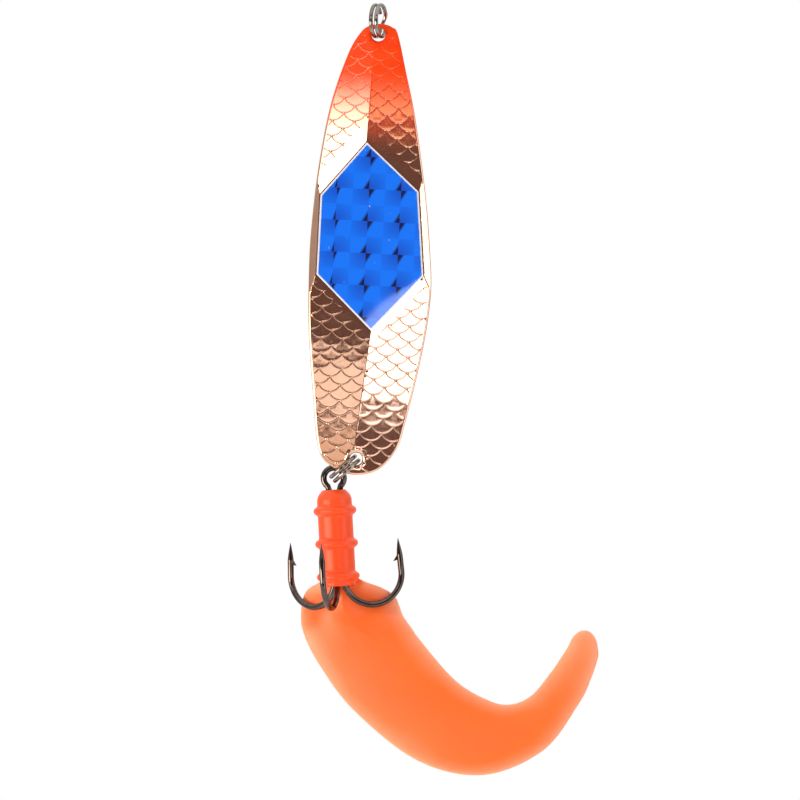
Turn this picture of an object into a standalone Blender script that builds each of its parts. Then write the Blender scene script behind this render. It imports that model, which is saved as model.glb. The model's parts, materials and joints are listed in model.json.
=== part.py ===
"""Spoon lure for pike: a faceted copper blade between two split rings, with a treble hook
in a soft ribbed sleeve that carries a curl tail.

Units are metres, +Z is up and -Y faces the viewer. The origin is the line tie: the inside top
of the upper split ring. The lure hangs from it, with the blade below and the hook at its foot.
"""

import math

import bmesh
import bpy
from mathutils import Matrix, Vector
from mathutils.geometry import delaunay_2d_cdt

MM = 0.001
WELD = 0.002 * MM
SMOOTH_ANGLE = math.radians(35.0)
PIVOT_SIZE = 4.0 * MM

# Split rings: two flat turns of spring wire with one crossover between them
RING_OUTER_RADIUS = 3.55 * MM
RING_WIRE = 0.65 * MM
RING_TURN_PITCH = 1.1 * MM
RING_TURNS = 2
RING_POINTS_PER_TURN = 24
RING_JOG_HALF_ANGLE = math.radians(30.0)
TOP_RING_YAW = math.radians(18.0)
TOP_RING_SEAT = 0.5 * MM
BOTTOM_RING_LEAN = math.radians(49.0)
BOTTOM_RING_SET_BACK = math.radians(23.0)

# Blade: stamped sheet with a flat hexagon and six facets that fall away from it
BLADE_THICKNESS = 1.3 * MM
BLADE_LEAN = math.radians(3.03)
BLADE_EDGE_BEVEL = 0.25 * MM
BLADE_LENGTH = 90.35 * MM
BLADE_WIDTH = 24.6 * MM
HOLE_RADIUS = 1.5 * MM
BOTTOM_HOLE_MARGIN = 3.2 * MM
HOLE_POINTS = 20
OUTLINE_STEPS = 4
EDGE_ANGLE = math.radians(60.0)
CREASE_ANGLE = math.radians(4.0)
# Drawn outline, across and down from the top hole, clockwise from the nose tip; it is
# stretched to the blade's length and width
BLADE_OUTLINE = (
    (0.7, -2.15), (2.7, -1.6), (3.9, -0.2), (5.9, 7.2), (8.3, 16.6), (11.0, 31.0), (12.6, 43.0),
    (13.2, 51.7), (12.1, 63.0), (9.4, 77.5), (7.9, 82.8), (4.6, 86.9), (0.0, 88.2), (-4.4, 87.0),
    (-7.6, 83.4), (-9.3, 72.1), (-10.8, 59.4), (-11.4, 47.0), (-11.3, 38.0), (-10.5, 26.5),
    (-8.8, 14.5), (-5.9, 4.3), (-3.6, -0.2), (-1.7, -1.75),
)
# Drawn hexagon corners in the same measure, clockwise from the upper one
HEXAGON = ((-1.16, 21.6), (9.76, 31.0), (11.65, 48.0), (1.65, 59.5), (-9.94, 48.7), (-9.98, 32.7))
# Fall of each facet per millimetre away from its hexagon edge, clockwise from the upper right
FACET_SLOPES = (0.16, 0.5, 0.202, 0.15, 0.5, 0.204)

# Sticker: a pale film with a smaller blue prism foil on it
STICKER_THICKNESS = 0.14 * MM
STICKER_GAP = 0.06 * MM
BACKING_INSET = 0.15 * MM
FOIL_INSET = 0.5 * MM

# Treble hook: a double hook of one wire, with a single hook laid against its shank
HOOK_WIRE = 1.25 * MM
HOOK_TILT = math.radians(-3.0)
HOOK_YAW = math.radians(-13.0)
EYE_OUTER_RADIUS = 2.7 * MM
EYE_OPEN_ANGLE = math.radians(40.0)
EYE_NECK = 3.3 * MM
EYE_STEPS = 16
SHANK_GAP = 0.4 * MM
SHANK_LENGTH = 19.6 * MM
STRAIGHT_SHARE = 0.6
BEND_RADIUS = 6.15 * MM
BEND_STEPS = 12
POINT_HEIGHT = 6.9 * MM
POINT_LEAN = 0.4 * MM
POINT_TAPER_SHARE = 0.52
POINT_BASE_SCALE = 0.95
POINT_TIP_SCALE = 0.12
BARB_BELOW_TIP = 2.6 * MM
BARB_LENGTH = 2.0 * MM
BARB_FOOT_SHARE = 0.8
BARB_RISE = 0.75 * MM
BARB_WIDTH = 0.4 * MM
BRAZE_CLEARANCE = 0.12 * MM
BEND_AZIMUTHS = {"left": math.radians(150.0), "right": math.radians(30.0), "front": math.radians(-90.0)}

# Sleeve: soft moulded tube with three ribs, over the hook's shank
BORE_CLEARANCE = 0.3 * MM
SLEEVE_TOP = 2.3 * MM
SLEEVE_PAST_SHANK = 2.0 * MM
SLEEVE_WALL = 1.62 * MM
SHOULDER_HEIGHT = 1.6 * MM
SHOULDER_INSET = 0.88 * MM
SHOULDER_STEPS = 4
MOUTH_FLARE = 0.25 * MM
MOUTH_DEPTH = 1.2 * MM
RIB_RISE = 0.85 * MM
RIB_WIDTH = 1.7 * MM
RIB_BELOW_TOP = 4.2 * MM
RIB_ABOVE_FOOT = 1.9 * MM
RIB_COUNT = 3
RIB_STEPS = 6
SLEEVE_SIDES = 28

# Curl tail: a flat moulding that leaves the sleeve's foot behind the bends
TAIL_REACH = 61.1 * MM
TAIL_DROP = 40.0 * MM
TAIL_THICKNESS = 3.0 * MM
TAIL_SETBACK = 4.5 * MM
SWEEP_EASE = 1.0 * MM
FLEX_GAP = 0.3 * MM
FLEX_STEPS = 4
TAIL_RING_POINTS = 24
TAIL_STEPS = 3
TAIL_LENS_POWER = 0.75
# Drawn stations, across from the shank and up from the sleeve's foot: the outer edge, the inner
# edge and half the thickness; they are stretched to the tail's reach, drop and thickness
ROOT_STATIONS = (
    (-5.0, 0.7, 4.6, 0.4, 0.5),
    (-7.6, -0.4, 7.6, -0.9, 0.9),
    (-9.2, -2.2, 9.7, -2.7, 1.35),
    (-9.9, -5.0, 10.6, -5.0, 1.5),
    (-9.2, -9.0, 11.8, -7.0, 1.5),
)
FIN_STATIONS = (
    (-6.1, -15.7, 14.2, -10.5, 1.5),
    (0.6, -25.3, 21.8, -20.0, 1.5),
    (13.2, -35.9, 28.8, -24.5, 1.5),
    (26.5, -39.3, 33.2, -25.3, 1.45),
    (39.0, -34.9, 37.4, -23.6, 1.3),
    (46.7, -26.0, 41.5, -19.2, 1.15),
    (51.2, -16.8, 45.0, -14.0, 0.95),
    (50.7, -12.3, 47.4, -11.2, 0.5),
)
# At each root station: the middle's share of the setback, the sweep of its sides towards the
# back, and the rise of its middle into the sleeve as a share of the sleeve's wall
ROOT_SETBACK = (
    (0.61, 0.28, 1.05),
    (0.645, 0.36, 0.3),
    (0.67, 0.46, 0.06),
    (0.755, 0.42, 0.0),
    (0.955, 0.1, 0.0),
)


def clear_scene():
    """Remove every object, so the script starts from an empty scene."""
    for old in list(bpy.data.objects):
        bpy.data.objects.remove(old, do_unlink=True)


def finish(name, colour, metallic, roughness):
    """Return a Principled material with one colour, metallic value and roughness."""
    material = bpy.data.materials.new(name)
    material.use_nodes = True
    shader = material.node_tree.nodes["Principled BSDF"]
    shader.inputs["Base Color"].default_value = (*colour, 1.0)
    shader.inputs["Metallic"].default_value = metallic
    shader.inputs["Roughness"].default_value = roughness
    return material


def smooth_line(points, steps, closed=False):
    """Return points on a smooth curve through the given ones, with a number of steps per span."""
    points = [Vector(point) for point in points]
    count = len(points)
    spans = count if closed else count - 1
    line = []
    for index in range(spans):
        if closed:
            before, start, end, after = (points[(index + k) % count] for k in (-1, 0, 1, 2))
        else:
            start, end = points[index], points[index + 1]
            before = points[index - 1] if index else start * 2 - end
            after = points[index + 2] if index + 2 < count else end * 2 - start
        for step in range(steps):
            t = step / steps
            line.append(0.5 * (2 * start + (end - before) * t
                               + (2 * before - 5 * start + 4 * end - after) * t ** 2
                               + (3 * start - before - 3 * end + after) * t ** 3))
    if not closed:
        line.append(points[-1])
    return line


def mesh_object(name, bm, material, sharp_angle=SMOOTH_ANGLE):
    """Turn a bmesh into a named, smooth-shaded object with faces that point out."""
    bmesh.ops.recalc_face_normals(bm, faces=bm.faces)
    mesh = bpy.data.meshes.new(name)
    bm.to_mesh(mesh)
    bm.free()
    mesh.shade_smooth()
    mesh.set_sharp_from_angle(angle=sharp_angle)
    mesh.materials.append(material)
    item = bpy.data.objects.new(name, mesh)
    bpy.context.collection.objects.link(item)
    return item


def tube_object(name, points, diameter, resolution, material, scales=None):
    """Make a round capped tube along the points, with a radius scale at each."""
    curve = bpy.data.curves.new(name, "CURVE")
    curve.dimensions = "3D"
    curve.fill_mode = "FULL"
    curve.use_fill_caps = True
    curve.bevel_depth = diameter / 2
    curve.bevel_resolution = resolution
    spline = curve.splines.new("POLY")
    spline.points.add(len(points) - 1)
    for index, point in enumerate(points):
        spline.points[index].co = (*point, 1.0)
        spline.points[index].radius = scales[index] if scales else 1.0
    guide = bpy.data.objects.new(name + "_guide", curve)
    bpy.context.collection.objects.link(guide)
    graph = bpy.context.evaluated_depsgraph_get()
    mesh = bpy.data.meshes.new_from_object(guide.evaluated_get(graph))
    bpy.data.objects.remove(guide, do_unlink=True)
    bm = bmesh.new()
    bm.from_mesh(mesh)
    bpy.data.meshes.remove(mesh)
    bmesh.ops.remove_doubles(bm, verts=bm.verts, dist=WELD)
    return mesh_object(name, bm, material)


def strip_cap(bm, row):
    """Close a ring with a strip of faces between its two long sides."""
    count = len(row)
    bm.faces.new((row[0], row[1], row[-1]))
    for index in range(1, (count - 1) // 2):
        bm.faces.new((row[index], row[index + 1], row[count - index - 1], row[count - index]))
    if count % 2 == 0:
        middle = count // 2
        bm.faces.new((row[middle - 1], row[middle], row[middle + 1]))


def loft(rings):
    """Return a bmesh that joins equal rings of points in order and closes both ends."""
    bm = bmesh.new()
    rows = [[bm.verts.new(point) for point in ring] for ring in rings]
    for row, following in zip(rows, rows[1:]):
        for index in range(len(row)):
            after = (index + 1) % len(row)
            bm.faces.new((row[index], row[after], following[after], following[index]))
    strip_cap(bm, rows[0])
    strip_cap(bm, rows[-1])
    bmesh.ops.remove_doubles(bm, verts=bm.verts, dist=WELD)
    return bm


def add_pivot(name, location, parent=None):
    """Make an empty on a joint's axis, under the pivot it swings from."""
    pivot = bpy.data.objects.new(name, None)
    pivot.empty_display_size = PIVOT_SIZE
    bpy.context.collection.objects.link(pivot)
    set_in(pivot, Matrix.Translation(location), parent)
    return pivot


def world_of(item):
    """Return the world matrix of an item from its own placing and its parents'."""
    placing = item.matrix_basis
    return world_of(item.parent) @ placing if item.parent else placing.copy()


def set_in(item, world, parent):
    """Place an item at a world matrix, carried by a parent."""
    item.parent = parent
    item.matrix_basis = world_of(parent).inverted() @ world if parent else world


def combine(target, tool, operation, solver="EXACT"):
    """Join or cut a target with a hidden tool by a Boolean that stays on the target."""
    tool.hide_render = True
    tool.display_type = "WIRE"
    modifier = target.modifiers.new(operation.lower(), "BOOLEAN")
    modifier.operation = operation
    modifier.object = tool
    modifier.solver = solver


# Split rings

RING_RADIUS = RING_OUTER_RADIUS - RING_WIRE / 2
RING_INNER_RADIUS = RING_OUTER_RADIUS - RING_WIRE


def split_ring_points():
    """Return the wire's centre line: flat turns about local X, with the crossovers at +Y."""
    points = []
    step = 2 * math.pi / RING_POINTS_PER_TURN
    first = RING_JOG_HALF_ANGLE
    last = RING_TURNS * 2 * math.pi - RING_JOG_HALF_ANGLE
    count = round((last - first) / step)
    for index in range(count + 1):
        angle = first + (last - first) * index / count
        turn = math.floor((angle + math.pi) / (2 * math.pi))
        past = angle - turn * 2 * math.pi
        climb = min(max((past / RING_JOG_HALF_ANGLE + 1) / 2, 0.0), 1.0)
        climb = climb * climb * (3 - 2 * climb)
        across = (turn + climb - (RING_TURNS + 1) / 2) * RING_TURN_PITCH
        points.append(Vector((across, RING_RADIUS * math.cos(angle), RING_RADIUS * math.sin(angle))))
    return points


def least_gap(points, diameter):
    """Return the least clear distance between stretches of a wire that are not neighbours."""
    skip = RING_POINTS_PER_TURN // 4
    pairs = ((points[i] - points[j]).length
             for i in range(len(points)) for j in range(i + skip, len(points)))
    return min(pairs) - diameter


def split_ring(name, world, parent, material):
    """Make one split ring as an unbroken tube and report its least gap to itself."""
    points = split_ring_points()
    print(f"{name}: least gap to itself {least_gap(points, RING_WIRE) / MM:.3f} mm")
    ring = tube_object(name, points, RING_WIRE, 1, material)
    set_in(ring, world, parent)
    return ring


# Blade and sticker

def extent(points, axis):
    """Return the spread of drawn points along one axis."""
    values = [point[axis] for point in points]
    return max(values) - min(values)


def stretched(points):
    """Return drawn points stretched to the blade's width and length, in millimetres."""
    wider = BLADE_WIDTH / MM / extent(BLADE_OUTLINE, 0)
    longer = BLADE_LENGTH / MM / extent(BLADE_OUTLINE, 1)
    return [Vector((across * wider, down * longer)) for across, down in points]


OUTLINE = smooth_line(stretched(BLADE_OUTLINE), OUTLINE_STEPS, closed=True)
CORNERS = stretched(HEXAGON)
HOLE_PITCH = max(point.y for point in OUTLINE) * MM - BOTTOM_HOLE_MARGIN


def facet_planes():
    """Return a point, an outward direction and a slope for each facet, in millimetres."""
    planes = []
    for index, slope in enumerate(FACET_SLOPES):
        start = CORNERS[index]
        edge = CORNERS[(index + 1) % len(CORNERS)] - start
        planes.append((start, Vector((edge.y, -edge.x)).normalized(), slope))
    return planes


def blade_depth(across, down):
    """Return how far the blade's front lies behind the hexagon, in millimetres."""
    spot = Vector((across, down))
    return max(0.0, *(slope * outward.dot(spot - start) for start, outward, slope in facet_planes()))


def facet_creases(reach):
    """Return the far end of the crease that leaves each hexagon corner."""
    planes = facet_planes()
    ends = []
    for index, corner in enumerate(CORNERS):
        _, before, slope_before = planes[index - 1]
        _, after, slope_after = planes[index]
        difference = after * slope_after - before * slope_before
        along = Vector((-difference.y, difference.x)).normalized()
        if along.dot(before + after) < 0:
            along.negate()
        ends.append(corner + along * reach)
    return ends


def hole_circles():
    """Return the points of the top and bottom hole, in millimetres across and down."""
    circles = []
    for down in (0.0, HOLE_PITCH / MM):
        angles = [2 * math.pi * k / HOLE_POINTS for k in range(HOLE_POINTS)]
        spokes = [Vector((math.cos(angle), math.sin(angle))) for angle in angles]
        circles.append([Vector((0.0, down)) + spoke * (HOLE_RADIUS / MM) for spoke in spokes])
    return circles


def blade_sheet():
    """Return the blade's front as a flat triangulation that follows its creases and holes."""
    points = []
    edges = []

    def add_loop(loop):
        first = len(points)
        points.extend(loop)
        edges.extend((first + k, first + (k + 1) % len(loop)) for k in range(len(loop)))

    add_loop(OUTLINE)
    for hole in hole_circles():
        add_loop(hole)
    first = len(points)
    add_loop(CORNERS)
    for index, end in enumerate(facet_creases(BLADE_LENGTH / MM)):
        edges.append((first + index, len(points)))
        points.append(end)
    result = delaunay_2d_cdt(points, edges, [], 3, 1e-5)
    return result[0], result[2]


def inside(loop, spot):
    """Say whether a spot lies inside a closed loop."""
    hit = False
    for start, end in zip(loop, loop[1:] + loop[:1]):
        if (start.y > spot.y) != (end.y > spot.y):
            if spot.x < start.x + (spot.y - start.y) / (end.y - start.y) * (end.x - start.x):
                hit = not hit
    return hit


def spoon_blade(world, parent, material):
    """Make the faceted blade with its two holes and eased edges."""
    points, faces = blade_sheet()
    holes = hole_circles()
    bm = bmesh.new()
    verts = [bm.verts.new((p.x * MM, blade_depth(p.x, p.y) * MM, -p.y * MM)) for p in points]
    for face in faces:
        middle = sum((points[k] for k in face), Vector((0.0, 0.0))) / len(face)
        if inside(OUTLINE, middle) and not any(inside(hole, middle) for hole in holes):
            bm.faces.new([verts[k] for k in face])
    loose = [vert for vert in bm.verts if not vert.link_faces]
    bmesh.ops.delete(bm, geom=loose, context="VERTS")
    back = bmesh.ops.extrude_face_region(bm, geom=bm.faces[:], use_keep_orig=True)
    moved = [item for item in back["geom"] if isinstance(item, bmesh.types.BMVert)]
    bmesh.ops.translate(bm, verts=moved, vec=(0.0, BLADE_THICKNESS, 0.0))
    blade = mesh_object("spoon_blade", bm, material, CREASE_ANGLE)
    bevel = blade.modifiers.new("eased_edges", "BEVEL")
    bevel.width = BLADE_EDGE_BEVEL
    bevel.segments = 1
    bevel.limit_method = "ANGLE"
    bevel.angle_limit = EDGE_ANGLE
    set_in(blade, world, parent)
    return blade


def inset_hexagon(inset):
    """Return the hexagon's corners moved in by an inset, in metres across and up."""
    corners = []
    planes = facet_planes()
    for index, corner in enumerate(CORNERS):
        before, after = planes[index - 1][1], planes[index][1]
        spot = corner - (before + after) / (1 + before.dot(after)) * (inset / MM)
        corners.append(Vector((spot.x * MM, -spot.y * MM)))
    return corners


def sticker_layer(name, inset, front, world, parent, material):
    """Make one flat hexagonal film whose back lies at a height in front of the blade."""
    corners = inset_hexagon(inset)
    rings = [[(c.x, -height, c.y) for c in corners] for height in (front, front + STICKER_THICKNESS)]
    film = mesh_object(name, loft(rings), material)
    set_in(film, world, parent)
    return film


# Treble hook

EYE_RADIUS = EYE_OUTER_RADIUS - HOOK_WIRE / 2
SHANK_SPACING = (HOOK_WIRE + SHANK_GAP) / math.sqrt(3)


def bend_points(azimuth):
    """Return one bend's centre line from the shank's neck to the point, with radius scales."""
    profile = [(SHANK_SPACING, -EYE_NECK), (SHANK_SPACING, -SHANK_LENGTH * STRAIGHT_SHARE)]
    centre = SHANK_SPACING + BEND_RADIUS
    for step in range(BEND_STEPS + 1):
        angle = math.pi + math.pi * step / BEND_STEPS
        profile.append((centre + BEND_RADIUS * math.cos(angle),
                        -SHANK_LENGTH + BEND_RADIUS * math.sin(angle)))
    gape = centre + BEND_RADIUS
    scales = [1.0] * len(profile)
    shaft = POINT_HEIGHT * (1 - POINT_TAPER_SHARE)
    profile.append((gape - POINT_LEAN * shaft / POINT_HEIGHT, -SHANK_LENGTH + shaft))
    profile.append((gape - POINT_LEAN, -SHANK_LENGTH + POINT_HEIGHT))
    scales += [POINT_BASE_SCALE, POINT_TIP_SCALE]
    across = Vector((math.cos(azimuth), math.sin(azimuth), 0.0))
    return [across * r + Vector((0.0, 0.0, z)) for r, z in profile], scales


def eye_points():
    """Return the eye's centre line between the two shank wires, from left to right."""
    depth = SHANK_SPACING * math.sin(BEND_AZIMUTHS["right"])
    start = -math.pi / 2 - EYE_OPEN_ANGLE
    sweep = 2 * math.pi - 2 * EYE_OPEN_ANGLE
    angles = [start - sweep * step / EYE_STEPS for step in range(EYE_STEPS + 1)]
    return [Vector((EYE_RADIUS * math.cos(angle), depth, EYE_RADIUS * math.sin(angle))) for angle in angles]


def barb(azimuth):
    """Make the hidden wedge that raises a barb on the inside of one point."""
    gape = SHANK_SPACING + 2 * BEND_RADIUS - POINT_LEAN / 2
    top = -SHANK_LENGTH + POINT_HEIGHT - BARB_BELOW_TIP
    edge = gape - HOOK_WIRE / 2 - BARB_RISE
    shape = ((gape, top), (gape, top - BARB_LENGTH * BARB_FOOT_SHARE), (edge, top - BARB_LENGTH))
    across = Vector((math.cos(azimuth), math.sin(azimuth), 0.0))
    side = Vector((-across.y, across.x, 0.0))
    rings = []
    for offset in (-BARB_WIDTH / 2, BARB_WIDTH / 2):
        rings.append([across * r + Vector((0.0, 0.0, z)) + side * offset for r, z in shape])
    return mesh_object("barb_tool", loft(rings), finish("barb", (0.1, 0.1, 0.1), 1.0, 0.3))


def hook_wire(name, points, scales, azimuths, world, parent, material):
    """Make one hook wire with a barb at each of its points."""
    wire = tube_object(name, points, HOOK_WIRE, 2, material, scales)
    set_in(wire, world, parent)
    for azimuth in azimuths:
        tool = barb(azimuth)
        set_in(tool, world, parent)
        combine(wire, tool, "UNION")
    return wire


def double_hook(world, parent, material):
    """Make the wire that forms the eye and the two rear bends."""
    left, left_scales = bend_points(BEND_AZIMUTHS["left"])
    right, right_scales = bend_points(BEND_AZIMUTHS["right"])
    eye = eye_points()
    points = left[::-1] + eye + right
    scales = left_scales[::-1] + [1.0] * len(eye) + right_scales
    azimuths = (BEND_AZIMUTHS["left"], BEND_AZIMUTHS["right"])
    return hook_wire("double_hook", points, scales, azimuths, world, parent, material)


def single_hook(world, parent, material):
    """Make the separate wire that forms the front bend."""
    points, scales = bend_points(BEND_AZIMUTHS["front"])
    return hook_wire("single_hook", points, scales, (BEND_AZIMUTHS["front"],), world, parent, material)


def hook_braze(world, parent, material):
    """Make the seam of braze that runs between the three shank wires."""
    diameter = 2 * (SHANK_SPACING - HOOK_WIRE / 2 - BRAZE_CLEARANCE)
    line = [Vector((0.0, 0.0, -EYE_NECK)), Vector((0.0, 0.0, -SHANK_LENGTH))]
    seam = tube_object("hook_braze", line, diameter, 1, material)
    set_in(seam, world, parent)
    return seam


# Soft sleeve and tail

BORE_RADIUS = SHANK_SPACING + HOOK_WIRE / 2 + BORE_CLEARANCE
MOUTH_RADIUS = BORE_RADIUS + MOUTH_FLARE
SLEEVE_RADIUS = BORE_RADIUS + SLEEVE_WALL
SLEEVE_FOOT = SHANK_LENGTH + SLEEVE_PAST_SHANK
RIB_FIRST = SLEEVE_TOP + RIB_BELOW_TOP
RIB_PITCH = (SLEEVE_FOOT - RIB_ABOVE_FOOT - RIB_FIRST) / max(RIB_COUNT - 1, 1)


def sleeve_profile():
    """Return the sleeve's closed half section as radius and height, outside first."""
    profile = []
    for step in range(SHOULDER_STEPS + 1):
        angle = math.pi / 2 * step / SHOULDER_STEPS
        profile.append((SLEEVE_RADIUS - SHOULDER_INSET * (1 - math.sin(angle)),
                        -SLEEVE_TOP - SHOULDER_HEIGHT * (1 - math.cos(angle))))
    for rib in range(RIB_COUNT):
        middle = RIB_FIRST + rib * RIB_PITCH
        for step in range(RIB_STEPS + 1):
            angle = math.pi * step / RIB_STEPS
            profile.append((SLEEVE_RADIUS + RIB_RISE * math.sin(angle),
                            -middle + RIB_WIDTH / 2 * math.cos(angle)))
    profile.append((SLEEVE_RADIUS, -SLEEVE_FOOT))
    profile.append((BORE_RADIUS, -SLEEVE_FOOT))
    profile.append((BORE_RADIUS, -SLEEVE_TOP - MOUTH_DEPTH))
    profile.append((MOUTH_RADIUS, -SLEEVE_TOP))
    return profile


def turned(profile, sides):
    """Return a bmesh of a closed half section turned about Z."""
    rings = []
    for side in range(sides):
        angle = 2 * math.pi * side / sides
        rings.append([Vector((r * math.cos(angle), r * math.sin(angle), z)) for r, z in profile])
    bm = bmesh.new()
    rows = [[bm.verts.new(point) for point in ring] for ring in rings]
    for side in range(sides):
        row, following = rows[side], rows[(side + 1) % sides]
        for index in range(len(profile)):
            after = (index + 1) % len(profile)
            bm.faces.new((row[index], row[after], following[after], following[index]))
    return bm


def tail_stations():
    """Return smooth stations along root and fin, and the index where the fin begins."""
    drawn = ROOT_STATIONS + FIN_STATIONS
    edges = [station[0:2] for station in drawn] + [station[2:4] for station in drawn]
    wider = TAIL_REACH / extent(edges, 0)
    taller = TAIL_DROP / extent(edges, 1)
    thicker = TAIL_THICKNESS / 2 / max(station[4] for station in drawn)
    outer = smooth_line([(s[0] * wider, s[1] * taller, s[4] * thicker) for s in drawn], TAIL_STEPS)
    inner = smooth_line([(s[2] * wider, s[3] * taller, s[4] * thicker) for s in drawn], TAIL_STEPS)
    backs = [(share * TAIL_SETBACK, sweep, rise * SLEEVE_WALL) for share, sweep, rise in ROOT_SETBACK]
    backs += [(TAIL_SETBACK, 0.0, 0.0)] * len(FIN_STATIONS)
    return list(zip(outer, inner, smooth_line(backs, TAIL_STEPS))), len(ROOT_STATIONS) * TAIL_STEPS


def flex_frame(stations, first):
    """Return the flex axis's middle point and the direction from it towards the root."""
    outer, inner, setback = stations[first]
    edge = Vector((inner.x - outer.x, 0.0, inner.y - outer.y)).normalized()
    middle = Vector(((outer.x + inner.x) / 2, setback.x, (outer.y + inner.y) / 2 - SLEEVE_FOOT))
    return middle, edge.cross(Vector((0.0, 1.0, 0.0)))


def tail_ring(station, slide=None, towards_root=None):
    """Return the points of one lens-shaped section; slide moves each by its half thickness."""
    outer, inner, setback = station
    half = (outer.z + inner.z) / 2
    points = []
    for index in range(TAIL_RING_POINTS):
        angle = 2 * math.pi * index / TAIL_RING_POINTS
        share = (1 - math.cos(angle)) / 2
        across = outer.x + (inner.x - outer.x) * share
        up = outer.y + (inner.y - outer.y) * share + setback.z * 4 * share * (1 - share)
        middle = setback.x + setback.y * (math.hypot(across, SWEEP_EASE) - SWEEP_EASE)
        offset = half * abs(math.sin(angle)) ** TAIL_LENS_POWER
        move = Vector()
        if slide:
            along, offset = slide(offset)
            move = towards_root * along
        facing = -1.0 if math.sin(angle) > 0 else 1.0
        points.append(Vector((across, middle + facing * offset, up - SLEEVE_FOOT)) + move)
    return points


def tail_root(stations, first):
    """Return the root's bmesh, which ends in a groove round the flex axis."""
    rings = [tail_ring(station) for station in stations[:first - TAIL_STEPS + 1]]
    towards_root = flex_frame(stations, first)[1]
    for step in range(FLEX_STEPS + 1):
        share = 1 - step / FLEX_STEPS

        def groove(thick, share=share):
            radius = thick + FLEX_GAP
            angle = math.asin(thick / radius) * share
            return radius * math.cos(angle), radius * math.sin(angle)

        rings.append(tail_ring(stations[first], groove, towards_root))
    return loft(rings)


def tail_fin(stations, first, world, parent, material):
    """Make the free curl, whose upper end is rounded about the flex axis."""
    towards_root = flex_frame(stations, first)[1]
    rings = []
    for step in range(FLEX_STEPS):
        angle = math.pi / 2 * (1 - step / FLEX_STEPS)

        def round_end(thick, angle=angle):
            return thick * math.sin(angle), thick * math.cos(angle)

        rings.append(tail_ring(stations[first], round_end, towards_root))
    rings += [tail_ring(station) for station in stations[first:]]
    fin = mesh_object("tail_fin", loft(rings), material)
    set_in(fin, world, parent)
    return fin


def tail_sleeve(stations, first, world, parent, material):
    """Make the ribbed sleeve with its bore, joined to the root of the tail."""
    sleeve = mesh_object("tail_sleeve", turned(sleeve_profile(), SLEEVE_SIDES), material)
    set_in(sleeve, world, parent)
    root = mesh_object("root_tool", tail_root(stations, first), material)
    set_in(root, world, parent)
    combine(sleeve, root, "UNION", "MANIFOLD")
    return sleeve


def main():
    """Build the lure from the line tie down."""
    clear_scene()
    copper = finish("copper_plate", (0.72, 0.36, 0.22), 1.0, 0.22)
    nickel = finish("nickel_wire", (0.62, 0.6, 0.57), 1.0, 0.25)
    black_nickel = finish("black_nickel_wire", (0.1, 0.095, 0.09), 1.0, 0.28)
    silver_braze = finish("silver_braze", (0.7, 0.68, 0.6), 1.0, 0.4)
    pale_film = finish("pale_film", (0.85, 0.87, 0.9), 0.2, 0.3)
    blue_foil = finish("blue_prism_foil", (0.0, 0.14, 0.9), 0.6, 0.25)
    soft_orange = finish("soft_orange", (1.0, 0.17, 0.045), 0.0, 0.4)

    ring_turn = Matrix.Rotation(TOP_RING_YAW, 4, "Z")
    ring_centre = Vector((0.0, 0.0, -RING_INNER_RADIUS))
    split_ring("top_split_ring", Matrix.Translation(ring_centre) @ ring_turn, None, nickel)

    seat = ring_centre - Vector((0.0, 0.0, RING_RADIUS))
    top_hole = seat + Vector((0.0, 0.0, TOP_RING_SEAT))
    blade_pivot = add_pivot("blade_pivot", top_hole)
    hole_depth = blade_depth(0.0, 0.0) * MM + BLADE_THICKNESS / 2
    lean = Matrix.Rotation(BLADE_LEAN, 4, "Y")
    blade_world = Matrix.Translation(top_hole - Vector((0.0, hole_depth, 0.0))) @ lean
    spoon_blade(blade_world, blade_pivot, copper)
    sticker_layer("sticker_backing", BACKING_INSET, STICKER_GAP, blade_world, blade_pivot, pale_film)
    foil_front = 2 * STICKER_GAP + STICKER_THICKNESS
    sticker_layer("sticker_foil", FOIL_INSET, foil_front, blade_world, blade_pivot, blue_foil)

    low_depth = blade_depth(0.0, HOLE_PITCH / MM) * MM + BLADE_THICKNESS / 2
    low_hole = blade_world @ Vector((0.0, low_depth, -HOLE_PITCH))
    low_pivot = add_pivot("bottom_ring_pivot", low_hole, blade_pivot)
    low_turn = Matrix.Rotation(BOTTOM_RING_LEAN, 4, "Y") @ Matrix.Rotation(BOTTOM_RING_SET_BACK, 4, "X")
    down = low_turn @ Vector((0.0, 0.0, -1.0))
    low_centre = low_hole + down * RING_RADIUS
    split_ring("bottom_split_ring", Matrix.Translation(low_centre) @ low_turn, low_pivot, nickel)

    eye_spot = low_centre + down * RING_RADIUS
    hook_pivot = add_pivot("hook_pivot", low_centre, low_pivot)
    hook_turn = Matrix.Rotation(HOOK_TILT, 4, "Y") @ Matrix.Rotation(HOOK_YAW, 4, "Z")
    eye_depth = Vector((0.0, SHANK_SPACING * math.sin(BEND_AZIMUTHS["right"]), 0.0))
    hook_world = Matrix.Translation(eye_spot - hook_turn @ eye_depth) @ hook_turn
    double_hook(hook_world, hook_pivot, black_nickel)
    single_hook(hook_world, hook_pivot, black_nickel)
    hook_braze(hook_world, hook_pivot, silver_braze)
    stations, first = tail_stations()
    tail_sleeve(stations, first, hook_world, hook_pivot, soft_orange)
    tail_pivot = add_pivot("tail_pivot", hook_world @ flex_frame(stations, first)[0], hook_pivot)
    tail_fin(stations, first, hook_world, tail_pivot, soft_orange)


main()
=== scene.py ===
"""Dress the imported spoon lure: embossed copper blade, prism sticker, rings, hooks and soft tail.

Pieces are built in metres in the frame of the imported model. Drawn tables are in millimetres.
"""

import json
import logging
import math
from dataclasses import dataclass, field
from enum import Enum
from functools import cached_property
from typing import Any, Sequence

import bmesh
import bpy
import numpy as np
from mathutils import Matrix, Vector
from mathutils.bvhtree import BVHTree
from mathutils.geometry import delaunay_2d_cdt

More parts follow.
